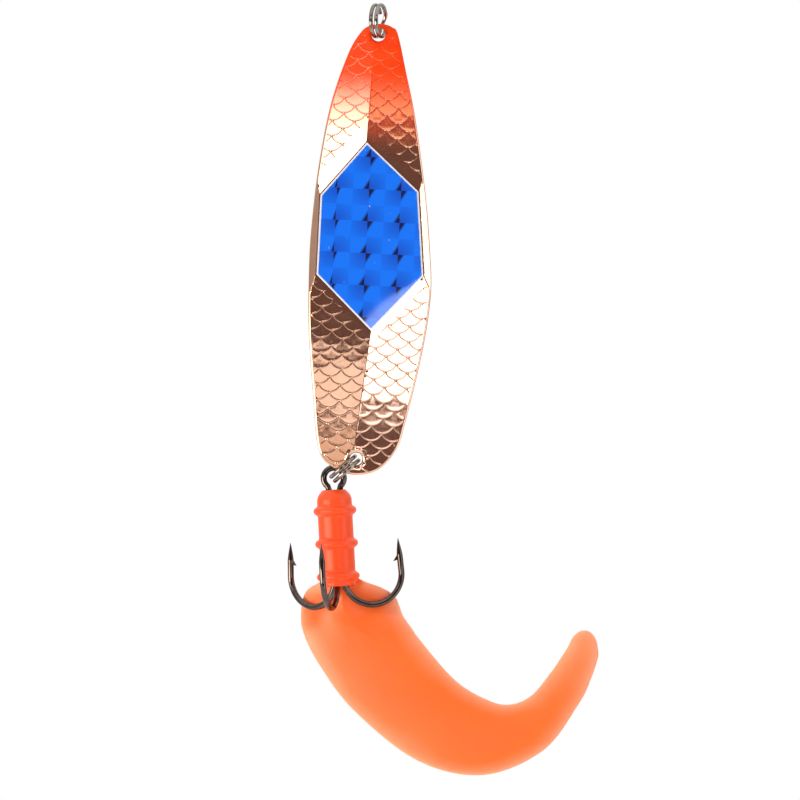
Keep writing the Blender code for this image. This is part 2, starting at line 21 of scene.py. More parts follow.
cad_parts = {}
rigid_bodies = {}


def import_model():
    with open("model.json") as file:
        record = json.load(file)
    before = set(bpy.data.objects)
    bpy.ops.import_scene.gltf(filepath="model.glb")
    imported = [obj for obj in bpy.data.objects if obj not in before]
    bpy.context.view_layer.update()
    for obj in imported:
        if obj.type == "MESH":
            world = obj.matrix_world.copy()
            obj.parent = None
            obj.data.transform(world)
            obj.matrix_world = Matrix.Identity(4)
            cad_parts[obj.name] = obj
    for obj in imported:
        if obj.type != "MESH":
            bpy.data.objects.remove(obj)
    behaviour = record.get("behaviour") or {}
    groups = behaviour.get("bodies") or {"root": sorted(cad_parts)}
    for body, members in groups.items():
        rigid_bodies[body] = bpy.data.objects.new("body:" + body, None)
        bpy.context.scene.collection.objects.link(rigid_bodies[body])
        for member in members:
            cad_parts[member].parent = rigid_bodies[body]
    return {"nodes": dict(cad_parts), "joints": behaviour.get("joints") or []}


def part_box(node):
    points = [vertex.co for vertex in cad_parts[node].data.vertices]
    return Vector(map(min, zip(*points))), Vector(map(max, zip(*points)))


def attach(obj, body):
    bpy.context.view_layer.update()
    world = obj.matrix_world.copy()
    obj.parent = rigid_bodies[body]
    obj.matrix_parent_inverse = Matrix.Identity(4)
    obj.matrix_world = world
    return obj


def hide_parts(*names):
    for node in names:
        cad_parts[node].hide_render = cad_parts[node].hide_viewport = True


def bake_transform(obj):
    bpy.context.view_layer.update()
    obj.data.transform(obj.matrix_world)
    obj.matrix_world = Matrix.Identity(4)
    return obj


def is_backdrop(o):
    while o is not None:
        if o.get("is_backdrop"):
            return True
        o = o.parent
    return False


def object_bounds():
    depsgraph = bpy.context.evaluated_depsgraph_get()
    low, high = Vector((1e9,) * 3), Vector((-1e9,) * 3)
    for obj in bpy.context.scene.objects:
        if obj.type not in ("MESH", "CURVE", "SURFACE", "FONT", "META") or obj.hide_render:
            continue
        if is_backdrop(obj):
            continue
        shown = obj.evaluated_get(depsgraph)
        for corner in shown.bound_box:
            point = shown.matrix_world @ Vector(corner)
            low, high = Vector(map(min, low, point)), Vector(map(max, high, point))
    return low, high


LOG = logging.getLogger("spoon_lure")
MM = 0.001
CREST = "crest"
BACKLIT_DEPTH = "depth"
VIEW_CENTRE = (4.3 * MM, 0.0, -78.725 * MM)
WIRE_SHARP_DEG = 50.0
Rgba = tuple[float, float, float, float]


class Body(Enum):
    """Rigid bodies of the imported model."""

    TOP_RING = "top_ring"
    BLADE = "blade"
    BOTTOM_RING = "bottom_ring"
    HOOK = "hook"
    TAIL = "tail"


class Slot(Enum):
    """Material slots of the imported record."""

    COPPER = "copper_plate"
    NICKEL = "nickel_wire"
    BLACK_NICKEL = "black_nickel_wire"
    FILM = "pale_film"
    FOIL = "blue_prism_foil"
    VINYL = "soft_orange"


def linear(code: str) -> Rgba:
    """Turn an sRGB hex code into a linear colour.

    Args:
        code: Six hex digits, such as "ff7d3c".

    Returns:
        Linear red, green and blue, with an alpha of 1.
    """
    channels = [int(code[k:k + 2], 16) / 255 for k in (0, 2, 4)]
    low = [c / 12.92 if c <= 0.04045 else ((c + 0.055) / 1.055) ** 2.4 for c in channels]
    return (*low, 1.0)


def feed(tree: bpy.types.NodeTree, node: bpy.types.Node, inputs: dict[Any, Any]) -> None:
    """Give a node its inputs.

    Args:
        tree: Node tree that the node is in.
        node: Node to feed.
        inputs: For each input, by name or index, its own value, or the node or socket to link in.
    """
    for name, value in inputs.items():
        if isinstance(value, bpy.types.Node):
            tree.links.new(value.outputs[0], node.inputs[name])
        elif isinstance(value, bpy.types.NodeSocket):
            tree.links.new(value, node.inputs[name])
        else:
            node.inputs[name].default_value = value


def add_node(tree: bpy.types.NodeTree, kind: str, inputs: dict[Any, Any] | None = None,
             stops: Sequence[tuple[float, Rgba]] = (), **settings: Any) -> bpy.types.Node:
    """Add one shader node with its settings and links.

    Args:
        tree: Node tree that takes the node.
        kind: Node type without its prefix, such as "Math".
        inputs: For each input, by name or index, its own value, or the node or socket to link in.
        stops: Positions and colours of a colour ramp.
        settings: Attributes of the node.

    Returns:
        The new node.
    """
    node = tree.nodes.new("ShaderNode" + kind)
    for name, value in settings.items():
        setattr(node, name, value)
    feed(tree, node, inputs or {})
    for index, (position, colour) in enumerate(stops):
        elements = node.color_ramp.elements
        element = elements[index] if index < 2 else elements.new(position)
        element.position = position
        element.color = colour
    return node


def two_tones(low: str, high: str,
              levels: tuple[float, float] = (0.3, 0.7)) -> tuple[tuple[float, Rgba], ...]:
    """Return the ramp stops between which a patchy finish changes from its low to its high colour."""
    return tuple((level, linear(code)) for level, code in zip(levels, (low, high)))


def new_material(name: str) -> tuple[bpy.types.Material, bpy.types.NodeTree, bpy.types.Node]:
    """Make an empty material.

    Args:
        name: Name of the material.

    Returns:
        The material, its node tree and its Principled shader.
    """
    material = bpy.data.materials.new(name)
    material.use_nodes = True
    return material, material.node_tree, material.node_tree.nodes["Principled BSDF"]


@dataclass(frozen=True)
class PlatedWire:
    """Drawn wire with a plated skin: a bright metal with dull patches."""

    name: str
    bright: str
    dull: str
    roughness: tuple[float, float]
    patch_mm: float = 0.9
    patch_levels: tuple[float, float] = (0.35, 0.6)
    dull_levels: tuple[float, float] = (0.3, 0.7)

    def material(self) -> bpy.types.Material:
        """Make the finish.

        Returns:
            Plated metal with its patches of dulled plating.
        """
        material, tree, shader = new_material(self.name)
        place = add_node(tree, "TexCoord").outputs["Object"]
        patches = add_node(tree, "TexNoise",
                           {"Vector": place, "Scale": 1 / (self.patch_mm * MM), "Detail": 3.0})
        colour = add_node(tree, "ValToRGB", {0: patches},
                          two_tones(self.dull, self.bright, self.patch_levels))
        low, high = self.dull_levels
        smooth, dulled = self.roughness
        rough = add_node(tree, "MapRange", {0: patches, 1: low, 2: high, 3: dulled, 4: smooth})
        feed(tree, shader, {"Base Color": colour, "Roughness": rough, "Metallic": 1.0})
        return material


NICKEL_WIRE = PlatedWire("bright_nickel_plate_on_spring_wire", "9c948d", "7a726b", (0.05, 0.11), 2.0)
BLACK_NICKEL_WIRE = PlatedWire("black_nickel_plate_on_hook_wire", "6a605b", "4e4642", (0.05, 0.12), 3.0)
SILVER_BRAZE = PlatedWire("silver_braze_as_flowed", "d8d2c0", "a59f90", (0.3, 0.5))


@dataclass(frozen=True)
class LacqueredCopper:
    """Mirror copper plating, with a red lacquer mist blown onto the nose, so that it thins to nothing."""

    name: str = "copper_plate_with_airbrushed_lacquer"
    copper: str = "f4c4a6"
    tarnish: str = "efbc9d"
    lacquer: str = "ff4c16"
    lacquer_deep: str = "fc3e10"
    full_mm: float = 6.5
    gone_mm: float = 24.5
    drift_mm: float = 3.5
    # Real polishing haze is finer than a pixel, so it is drawn coarser.
    speck_mm: float = 0.3
    crest_wear: float = 0.35
    tarnish_levels: tuple[float, float] = (0.35, 0.6)
    speck_levels: tuple[float, float] = (0.35, 0.75)
    polish: tuple[float, float] = (0.04, 0.09)
    lacquer_roughness: float = 0.25
    lacquer_shine: float = 0.1

    def material(self) -> bpy.types.Material:
        """Make the finish.

        Returns:
            Plated metal that the lacquer covers up towards the blade's nose.
        """
        material, tree, metal = new_material(self.name)
        place = add_node(tree, "TexCoord").outputs["Object"]
        drift, speck = self.drift_mm * MM, self.speck_mm * MM
        cloud = add_node(tree, "TexNoise", {"Vector": place, "Scale": 1 / drift, "Detail": 4.0})
        specks = add_node(tree, "TexNoise", {"Vector": place, "Scale": 1 / speck, "Detail": 2.0})
        plate = add_node(tree, "ValToRGB", {0: cloud},
                         two_tones(self.tarnish, self.copper, self.tarnish_levels))
        (low, high), (clear, dulled) = self.speck_levels, self.polish
        haze = add_node(tree, "MapRange", {0: specks, 1: low, 2: high, 3: clear, 4: dulled})
        feed(tree, metal, {"Base Color": plate, "Roughness": haze, "Metallic": 1.0})

        height = add_node(tree, "SeparateXYZ", {0: place}).outputs["Z"]
        wander = add_node(tree, "Math", {0: cloud, 1: drift, 2: -drift / 2}, operation="MULTIPLY_ADD")
        level = add_node(tree, "Math", {0: height, 1: wander}, operation="ADD")
        mist = add_node(tree, "MapRange", {0: level, 1: -self.gone_mm * MM, 2: -self.full_mm * MM},
                        interpolation_type="SMOOTHSTEP")
        crest = add_node(tree, "Attribute", attribute_name=CREST).outputs["Fac"]
        worn = add_node(tree, "Math", {0: crest, 1: -self.crest_wear, 2: 1.0}, operation="MULTIPLY_ADD")
        cover = add_node(tree, "Math", {0: mist, 1: worn}, operation="MULTIPLY")
        colour = add_node(tree, "ValToRGB", {0: cloud}, two_tones(self.lacquer_deep, self.lacquer))
        paint = add_node(tree, "BsdfPrincipled", {"Base Color": colour, "Roughness": self.lacquer_roughness,
                                                  "Specular IOR Level": self.lacquer_shine})
        both = add_node(tree, "MixShader", {0: cover, 1: metal, 2: paint})
        feed(tree, tree.nodes["Material Output"], {0: both})
        return material


@dataclass(frozen=True)
class PrismFoil:
    """Blue foil pressed with square prisms. Its light and dark quarters and the dark notches between them
    are painted reflections of the prism faces, over the foil's own blue.
    """

    name: str = "pressed_prism_foil_blue_painted_reflections"
    light: str = "0076ff"
    middle: str = "004cc8"
    dark: str = "001048"
    fleck: str = "f4f8ff"
    pitch_mm: float = 6.4
    first_across_mm: float = -6.6
    first_down_mm: float = 31.1
    notch_wide: float = 0.23
    notch_tall: float = 0.38
    notch_core: float = 0.6
    narrow_share: float = 0.5
    narrow_mm: tuple[float, float] = (-7.0, -2.0)
    quarter_light: float = 0.9
    turned_light: float = 0.75
    turned_reach: float = 0.6
    scuff_mm: float = 0.6
    chip_level: tuple[float, float] = (0.735, 0.76)
    roughness: tuple[float, float] = (0.3, 0.45)
    skin_ior: float = 1.75
    skin_roughness: float = 0.18

    def prism_steps(self, tree: bpy.types.NodeTree,
                    place: bpy.types.NodeSocket) -> tuple[bpy.types.Node, ...]:
        """Measure each spot from the nearest corner of four quarters, in prisms across and up.

        Args:
            tree: Node tree of the finish.
            place: Socket with the spot.

        Returns:
            The step across, the step up and the width of the notch there.
        """
        axes = add_node(tree, "SeparateXYZ", {0: place}).outputs
        pitch = self.pitch_mm * MM
        near = []
        for axis, first in (("X", self.first_across_mm), ("Z", -self.first_down_mm)):
            count = add_node(tree, "Math", {0: axes[axis], 1: 1 / pitch, 2: -first * MM / pitch},
                             operation="MULTIPLY_ADD")
            whole = add_node(tree, "Math", {0: count}, operation="ROUND")
            near.append(add_node(tree, "Math", {0: count, 1: whole}, operation="SUBTRACT"))
        # The painted dark notches narrow towards the left.
        left, right = self.narrow_mm
        width = add_node(tree, "MapRange", {0: axes["X"], 1: left * MM, 2: right * MM,
                                            3: self.notch_wide * self.narrow_share, 4: self.notch_wide})
        return near[0], near[1], width

    def material(self) -> bpy.types.Material:
        """Make the finish.

        Returns:
            Foil with its quartered prisms, whose light and dark quarters and dark notches are painted
            reflections, under a clear skin.
        """
        material, tree, shader = new_material(self.name)
        place = add_node(tree, "TexCoord").outputs["Object"]
        across, up, width = self.prism_steps(tree, place)
        # Painted reflections: the prism quarters are drawn light and dark, with dark notches at their
        # corners.
        aside, above = (add_node(tree, "Math", {0: step}, operation="ABSOLUTE") for step in (across, up))
        side = add_node(tree, "Math", {0: aside, 1: width}, operation="DIVIDE")
        reach = add_node(tree, "Math", {0: above, 1: 1 / self.notch_tall, 2: side}, operation="MULTIPLY_ADD")
        both = add_node(tree, "Math", {0: across, 1: up}, operation="MULTIPLY")
        quarter = add_node(tree, "Math", {0: both, 1: 0.0}, operation="LESS_THAN")
        depth = add_node(tree, "MapRange", {0: reach, 1: 1.0, 2: self.notch_core})
        notch = add_node(tree, "Math", {0: quarter, 1: depth}, operation="MULTIPLY")

        upward = add_node(tree, "Math", {0: up, 1: up}, operation="MULTIPLY")
        square = add_node(tree, "Math", {0: across, 1: across, 2: upward}, operation="MULTIPLY_ADD")
        span = add_node(tree, "Math", {0: square}, operation="SQRT")
        turned = add_node(tree, "MapRange", {0: span, 2: self.turned_reach, 4: self.turned_light})
        lit = add_node(tree, "Math", {0: quarter, 1: self.quarter_light}, operation="MULTIPLY")
        shade = add_node(tree, "Math", {0: lit, 1: turned}, operation="MAXIMUM")
        colour = add_node(tree, "ValToRGB", {0: shade}, two_tones(self.middle, self.light, (0.0, 1.0)))
        notched = add_node(tree, "Mix", {0: notch, 6: colour, 7: linear(self.dark)},
                           data_type="RGBA").outputs[2]

        scuffs = add_node(tree, "TexNoise",
                          {"Vector": place, "Scale": 1 / (self.scuff_mm * MM), "Detail": 5.0})
        chips = add_node(tree, "MapRange", {0: scuffs, 1: self.chip_level[0], 2: self.chip_level[1]})
        rough = add_node(tree, "MapRange", {0: scuffs, 3: self.roughness[0], 4: self.roughness[1]})
        worn = add_node(tree, "Mix", {0: chips, 6: notched, 7: linear(self.fleck)},
                        data_type="RGBA").outputs[2]
        feed(tree, shader, {"Base Color": worn, "Roughness": rough, "Specular IOR Level": 0.0,
                            "Coat Weight": 1.0, "Coat IOR": self.skin_ior,
                            "Coat Roughness": self.skin_roughness})
        return material


@dataclass(frozen=True)
class CastFilm:
    """Pale plastic film: smooth, with a faint cloudiness from its glue."""

    name: str = "cast_film_pale"
    pale: str = "f4f5fb"
    cloudy: str = "e2e6f4"
    cloud_mm: float = 1.5
    roughness: float = 0.25

    def material(self) -> bpy.types.Material:
        """Make the finish.

        Returns:
            Film with its cloudy glue.
        """
        material, tree, shader = new_material(self.name)
        place = add_node(tree, "TexCoord").outputs["Object"]
        cloud = add_node(tree, "TexNoise",
                         {"Vector": place, "Scale": 1 / (self.cloud_mm * MM), "Detail": 3.0})
        colour = add_node(tree, "ValToRGB", {0: cloud}, two_tones(self.cloudy, self.pale))
        feed(tree, shader, {"Base Color": colour, "Roughness": self.roughness})
        return material


@dataclass(frozen=True)
class MouldedVinyl:
    """Soft moulded vinyl with a dull gloss. Its colour is painted from its depth: pale at the edges as
    painted backlight, deep in the sleeve as painted shade.
    """

    name: str = "moulded_soft_vinyl_orange_painted_backlight_and_shade"
    backlit_thin: str = "ffae88"
    sheet: str = "ff6c1a"
    shaded_thick: str = "ff4c00"
    thin_share: float = 0.05
    sheet_mm: float = 2.4
    thick_mm: float = 6.5
    cloud_mm: float = 14.0
    cloud_strength: float = 0.5
    # Real mould grain is finer than a pixel, so it is drawn coarser.
    grain_mm: float = 0.5
    roughness: tuple[float, float] = (0.36, 0.42)
    glow: float = 0.4
    glow_mm: float = 1.5
    glow_spread: tuple[float, float, float] = (1.0, 0.5, 0.3)

    def material(self) -> bpy.types.Material:
        """Make the finish.

        Returns:
            Translucent vinyl whose painted colour deepens with the moulding's depth: painted backlight at
            its edges, painted shade in the sleeve.
        """
        material, tree, shader = new_material(self.name)
        place = add_node(tree, "TexCoord").outputs["Object"]
        cloud = add_node(tree, "TexNoise",
                         {"Vector": place, "Scale": 1 / (self.cloud_mm * MM), "Detail": 2.0})
        strength = add_node(tree, "Math", {0: cloud, 1: self.cloud_strength, 2: 1 - self.cloud_strength / 2},
                            operation="MULTIPLY_ADD")
        depth = add_node(tree, "Attribute", attribute_name=BACKLIT_DEPTH).outputs["Fac"]
        clouded_backlight_depth = add_node(tree, "Math", {0: depth, 1: strength}, operation="MULTIPLY")
        share = add_node(tree, "Math", {0: clouded_backlight_depth, 1: self.thick_mm * MM}, operation="DIVIDE")
        # Painted light: pale where the moulding is shallow, as backlight through its edges, and deepest
        # where it is deepest, as shade in the sleeve.
        colour = add_node(tree, "ValToRGB", {0: share},
                          ((self.thin_share, linear(self.backlit_thin)), (1.0, linear(self.shaded_thick)),
                           (self.sheet_mm / self.thick_mm, linear(self.sheet))))
        skin = add_node(tree, "TexNoise",
                        {"Vector": place, "Scale": 1 / (self.grain_mm * MM), "Detail": 3.0})
        rough = add_node(tree, "MapRange", {0: skin, 3: self.roughness[0], 4: self.roughness[1]})
        feed(tree, shader, {"Base Color": colour, "Roughness": rough, "Subsurface Weight": self.glow,
                            "Subsurface Radius": self.glow_spread, "Subsurface Scale": self.glow_mm * MM})
        return material


def new_piece(name: str, mesh: bpy.types.Mesh, material: bpy.types.Material, body: Body,
              nodes: Sequence[str], world: Matrix) -> bpy.types.Object:
    """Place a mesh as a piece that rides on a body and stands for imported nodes.

    Args:
        name: Name of the piece.
        mesh: Its mesh.
        material: Its finish.
        body: Body that it rides on.
        nodes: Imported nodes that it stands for.
        world: Its place.

    Returns:
        The new object.
    """
    mesh.materials.clear()
    mesh.materials.append(material)
    piece = bpy.data.objects.new(name, mesh)
    bpy.context.scene.collection.objects.link(piece)
    piece.matrix_world = world
    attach(piece, body.value)
    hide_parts(*nodes)
    LOG.info("%s: %d faces on %s", name, len(mesh.polygons), body.value)
    return piece


def applied_mesh(item: bpy.types.Object) -> bpy.types.Mesh:
    """Apply an object's modifiers and remove the object.

    Args:
        item: Object with modifiers, or a curve.

    Returns:
        A mesh of what was shown.
    """
    graph = bpy.context.evaluated_depsgraph_get()
    mesh = bpy.data.meshes.new_from_object(item.evaluated_get(graph))
    bpy.data.objects.remove(item, do_unlink=True)
    return mesh


def loose_object(name: str, data: Any) -> bpy.types.Object:
    """Link data into the scene as an object.

    Args:
        name: Name of the object.
        data: Mesh, curve, lamp or camera.

    Returns:
        The new object.
    """
    item = bpy.data.objects.new(name, data)
    bpy.context.scene.collection.objects.link(item)
    return item


def face_out(mesh: bpy.types.Mesh, weld: float = 0.0) -> None:
    """Turn all faces of a closed mesh outwards.

    Args:
        mesh: Mesh to change.
        weld: Distance within which its points are joined.
    """
    bm = bmesh.new()
    bm.from_mesh(mesh)
    if weld:
        bmesh.ops.remove_doubles(bm, verts=bm.verts, dist=weld)
    bmesh.ops.recalc_face_normals(bm, faces=bm.faces)
    bm.to_mesh(mesh)
    bm.free()


def solid_mesh(name: str, places: np.ndarray, polygons: Sequence[Sequence[int]]) -> bpy.types.Mesh:
    """Make a smooth closed mesh.

    Args:
        name: Name of the mesh.
        places: Its points, one row each, in metres.
        polygons: Point numbers of each face.

    Returns:
        The new mesh, with its faces turned out.
    """
    mesh = bpy.data.meshes.new(name)
    mesh.from_pydata(places, [], [[int(k) for k in face] for face in polygons])
    face_out(mesh)
    mesh.shade_smooth()
    return mesh


def wire_mesh(name: str, points: Sequence[Vector], diameter: float, scales: Sequence[float],
              roundness: int = 5, weld: float = 0.002 * MM) -> bpy.types.Mesh:
    """Make a closed round wire along points.

    Args:
        name: Name of the mesh.
        points: Centre line of the wire.
        diameter: Diameter of the wire.
        scales: Share of the radius at each point.
        roundness: Fineness of the round section.
        weld: Distance within which its points are joined.

    Returns:
        The new mesh.
    """
    curve = bpy.data.curves.new(name, "CURVE")
    curve.dimensions = "3D"
    curve.fill_mode = "FULL"
    curve.use_fill_caps = True
    curve.bevel_depth = diameter / 2
    curve.bevel_resolution = roundness
    strand = curve.splines.new("POLY")
    strand.points.add(len(points) - 1)
    for spot, point, scale in zip(strand.points, points, scales):
        spot.co = (*point, 1.0)
        spot.radius = scale
    mesh = applied_mesh(loose_object(name, curve))
    face_out(mesh, weld)
    mesh.shade_smooth()
    mesh.set_sharp_from_angle(angle=math.radians(WIRE_SHARP_DEG))
    return mesh


def spline(before: np.ndarray, start: np.ndarray, end: np.ndarray, after: np.ndarray,
           steps: int) -> np.ndarray:
    """Draw smooth spans between rows of points.

    Args:
        before: Row before each span.
        start: Row where each span starts.
        end: Row where each span ends.
        after: Row after each span.
        steps: Steps in each span.

    Returns:
        Rows along all spans, without the last end.
    """
    before, start, end, after = (row[:, None, :] for row in (before, start, end, after))
    t = (np.arange(steps) / steps)[None, :, None]
    rows = 0.5 * (2 * start + (end - before) * t + (2 * before - 5 * start + 4 * end - after) * t ** 2
                  + (3 * start - before - 3 * end + after) * t ** 3)
    return rows.reshape(-1, rows.shape[2])


def closed_curve(points: Sequence[tuple[float, ...]], steps: int) -> np.ndarray:
    """Return a smooth closed curve through drawn points."""
    drawn = np.array(points, float)
    return spline(*(np.roll(drawn, shift, 0) for shift in (1, 0, -1, -2)), steps)


def open_curve(points: np.ndarray, steps: int) -> np.ndarray:
    """Draw a smooth open curve.

    Args:
        points: Rows that the curve passes.
        steps: Steps between two rows.

    Returns:
        Rows along the curve.
    """
    padded = np.concatenate((2 * points[:1] - points[1:2], points, 2 * points[-1:] - points[-2:-1]))
    spans = len(points) - 1
    return np.concatenate((spline(*(padded[k:k + spans] for k in range(4)), steps), points[-1:]))


def swept_mesh(name: str, rings: np.ndarray) -> bpy.types.Mesh:
    """Close a mesh through rows of section points, with a cap at each end.

    Args:
        name: Name of the mesh.
        rings: Points by section and place in the section.

    Returns:
        The new mesh.
    """
    count, size = rings.shape[:2]
    polygons = [list(range(size)), list(range((count - 1) * size, count * size))]
    for row in range(count - 1):
        for k in range(size):
            after = (k + 1) % size
            low, high = row * size, (row + 1) * size
            polygons.append([low + k, low + after, high + after, high + k])
    return solid_mesh(name, rings.reshape(-1, 3), polygons)


def unit_rows(rows: np.ndarray) -> np.ndarray:
    """Return the rows at a length of 1."""
    return rows / np.linalg.norm(rows, axis=1, keepdims=True)


def in_space(spots: np.ndarray, depth: np.ndarray) -> np.ndarray:
    """Return spots of a sheet, drawn across and down, as points in space at their depths."""
    return np.stack((spots[:, 0], depth, -spots[:, 1]), 1)


def outward(loop: np.ndarray, back: int = 1) -> np.ndarray:
    """Point out of a clockwise loop.

    Args:
        loop: Points of a closed loop, one row each.
        back: 1 to point out at each loop point, 0 at each edge that starts there.

    Returns:
        A unit direction for each point or edge.
    """
    along = np.roll(loop, -1, 0) - np.roll(loop, back, 0)
    return unit_rows(np.stack((along[:, 1], -along[:, 0]), 1))


def inside(loop: np.ndarray, spots: np.ndarray) -> np.ndarray:
    """Find the spots that lie inside a closed loop.

    Args:
        loop: Points of a closed loop, one row each.
        spots: Places on the sheet, across and down in millimetres.

    Returns:
        True for each spot that is inside.
    """
    start, end = loop[None], np.roll(loop, -1, 0)[None]
    x, y = spots[:, None, 0], spots[:, None, 1]
    spans = (start[..., 1] > y) != (end[..., 1] > y)
    rise = np.where(spans, end[..., 1] - start[..., 1], 1.0)
    crossing = start[..., 0] + (y - start[..., 1]) / rise * (end[..., 0] - start[..., 0])
    return (spans & (x < crossing)).sum(1) % 2 == 1


def edge_distance(loop: np.ndarray, spots: np.ndarray, batch: int = 4000) -> np.ndarray:
    """Measure how far spots are from a closed loop's edges, in batches.

    Args:
        loop: Points of a closed loop, one row each.
        spots: Places on the sheet, across and down in millimetres.
        batch: Number of spots in a batch.

    Returns:
        Distance of each spot.
    """
    start = loop[None]
    edge = np.roll(loop, -1, 0)[None] - start
    length = (edge * edge).sum(2)
    parts = []
    for first in range(0, len(spots), batch):
        offset = spots[first:first + batch, None] - start
        share = np.clip((offset * edge).sum(2) / length, 0, 1)
        parts.append(np.linalg.norm(offset - share[..., None] * edge, axis=2).min(1))
    return np.concatenate(parts)


def eased(values: np.ndarray, low: Any, high: Any) -> np.ndarray:
    """Return a smooth rise from 0 at low to 1 at high."""
    t = np.clip((values - low) / (high - low), 0, 1)
    return t * t * (3 - 2 * t)


def split_runs(line: np.ndarray, keep: np.ndarray) -> list[np.ndarray]:
    """Return the stretches of a line whose points are kept."""
    breaks = np.flatnonzero(np.diff(keep.astype(int))) + 1
    return [part for part, kept in zip(np.split(line, breaks), np.split(keep, breaks)) if kept[0]]


def grid_over(points: np.ndarray, pitch: float, stagger: float = 0.0) -> np.ndarray:
    """Fill the box round some points with rows of spots.

    Args:
        points: Points on the sheet, one row each.
        pitch: Distance between spots.
        stagger: Shift of every other row.

    Returns:
        Spots of all rows, one row each.
    """
    low, high = points.min(0), points.max(0)
    across, down = np.arange(low[0], high[0], pitch), np.arange(low[1], high[1], pitch)
    grid = np.stack(np.meshgrid(across, down), 2)
    grid[1::2, :, 0] += stagger
    return grid.reshape(-1, 2)


@dataclass(frozen=True)
class BladeForm:
    """Shape of the stamped blade, drawn in millimetres across and down from its top hole.

    Its normals have the full bow. Its depth keeps a share of it, to stay clear of the hook's eye.
    """

    thickness: float = 1.3
    lean_deg: float = 3.03
    hole_radii: tuple[float, float] = (1.38, 1.27)
    hole_pitch: float = 85.0
    edge_round: float = 0.4
    outline_steps: int = 10
    outline: tuple[tuple[float, float], ...] = (
        (0.7, -2.15), (2.7, -1.6), (3.9, -0.2), (5.9, 7.2), (8.3, 16.6), (11.0, 31.0), (12.6, 43.0),
        (13.2, 51.7), (12.1, 63.0), (9.4, 77.5), (7.9, 82.8), (4.6, 86.9), (0.0, 88.2), (-4.4, 87.0),
        (-7.6, 83.4), (-9.3, 72.1), (-10.8, 59.4), (-11.4, 47.0), (-11.3, 38.0), (-10.5, 26.5),
        (-8.8, 14.5), (-5.9, 4.3), (-3.6, -0.2), (-1.7, -1.75),
    )
    hexagon: tuple[tuple[float, float], ...] = (
        (-1.16, 21.6), (9.76, 31.0), (11.65, 48.0), (1.65, 59.5), (-9.94, 48.7), (-9.98, 32.7),
    )
    slopes: tuple[float, ...] = (0.16, 0.5, 0.202, 0.15, 0.5, 0.204)
    crease_ease: float = 0.04
    soft_facet: int = 2
    soft_ease: float = 0.3
    soft_lead: float = 0.4
    bow_radius: float = 600.0
    bow_kept: float = 0.4
    wave_rise: float = 0.003
    wave_start: float = 0.3
    waves: tuple[tuple[float, float, float], ...] = (
        (0.11, 0.05, 0.0), (-0.06, 0.083, 1.7), (0.02, 0.16, 0.6),
    )
    scale_wide: float = 4.4
    scale_drop: float = 1.55
    scale_line: float = 0.16
    scale_rise: float = 0.032
    scale_start: tuple[float, float] = (-3.9, 70.3)
    bare_margins: tuple[float, ...] = (2.6, 9.0, 1.6, 1.2, 9.0, 3.2)
    bare_ease: float = 0.5
    hole_clear: tuple[float, float] = (0.9, 1.3)
    rim_clear: tuple[float, float] = (0.05, 0.3)
    hole_lip: float = 0.12
    lip_wide: float = 0.4
    # Normals are measured over this step. A longer one would tilt the flat scales beside their lines.
    probe: float = 0.004

    def facet_heights(self, spots: np.ndarray) -> tuple[np.ndarray, np.ndarray]:
        """Measure spots against every facet of the blade.

        Args:
            spots: Places on the sheet, across and down in millimetres.

        Returns:
            Each facet's distance outside its hexagon edge, and its fall there.
        """
        corners = np.array(self.hexagon)
        out = outward(corners, back=0)
        reach = ((spots[:, None] - corners[None]) * out[None]).sum(2)
        return reach, reach * np.array(self.slopes)

    def fall(self, spots: np.ndarray, bow: float = 1.0) -> np.ndarray:
        """Work out how far the plain stamped front lies behind the hexagon.

        Args:
            spots: Places on the sheet, across and down in millimetres.
            bow: Share of the blade's bow that counts.

        Returns:
            Depth at each spot.
        """
        _, falls = self.facet_heights(spots)
        ranked = np.sort(falls, 1)
        gap = np.clip(self.crease_ease - (ranked[:, -1] - ranked[:, -2]), 0, None)
        ridge = ranked[:, -1] + gap ** 2 / (4 * self.crease_ease)
        lead = falls[:, self.soft_facet] - np.delete(falls, self.soft_facet, 1).max(1)
        ease = self.crease_ease + (self.soft_ease - self.crease_ease) * eased(lead, 0.0, self.soft_lead)
        blend = np.clip(ridge + ease, 0, 2 * ease) ** 2 / (4 * ease)
        flat = np.where(ridge > ease, ridge, blend)
        top, bottom = self.hexagon[0][1], self.hexagon[3][1]
        beyond = np.clip(spots[:, 1] - bottom, 0, None) + np.clip(top - spots[:, 1], 0, None)
        across, down = 2 * math.pi * spots.T
        wave = sum(np.sin(across * a + down * d + start) for a, d, start in self.waves)
        outside = eased(ridge, 0.0, self.wave_start)
        return flat + bow * beyond ** 2 / (2 * self.bow_radius) + self.wave_rise * wave * outside

    @property
    def scale_radius(self) -> float:
        """Radius of a scale's curved lower edge."""
        half, drop = self.scale_wide / 2, self.scale_drop
        return (half ** 2 + drop ** 2) / (2 * drop)

    @property
    def scale_angle(self) -> float:
        """Half the angle that a scale's lower edge spans."""
        return math.asin(self.scale_wide / 2 / self.scale_radius)

    def line_distance(self, spots: np.ndarray) -> np.ndarray:
        """Measure how far spots are from the nearest scale's lower edge.

        Args:
            spots: Places on the sheet, across and down in millimetres.

        Returns:
            Distance of each spot.
        """
        drop, radius, limit = self.scale_drop, self.scale_radius, self.scale_angle
        row = np.round((spots[:, 1] - self.scale_start[1]) / drop)
        best = np.full(len(spots), np.inf)
        for step in range(-1, 4):
            level = row + step
            shift = np.mod(level, 2) * self.scale_wide / 2 + self.scale_start[0]
            column = np.round((spots[:, 0] - shift) / self.scale_wide)
            for side in (-1, 0, 1):
                across = spots[:, 0] - shift - (column + side) * self.scale_wide
                down = spots[:, 1] - self.scale_start[1] - level * drop + radius
                angle = np.clip(np.arctan2(across, down), -limit, limit)
                away = np.hypot(across - radius * np.sin(angle), down - radius * np.cos(angle))
                best = np.minimum(best, away)
        return best

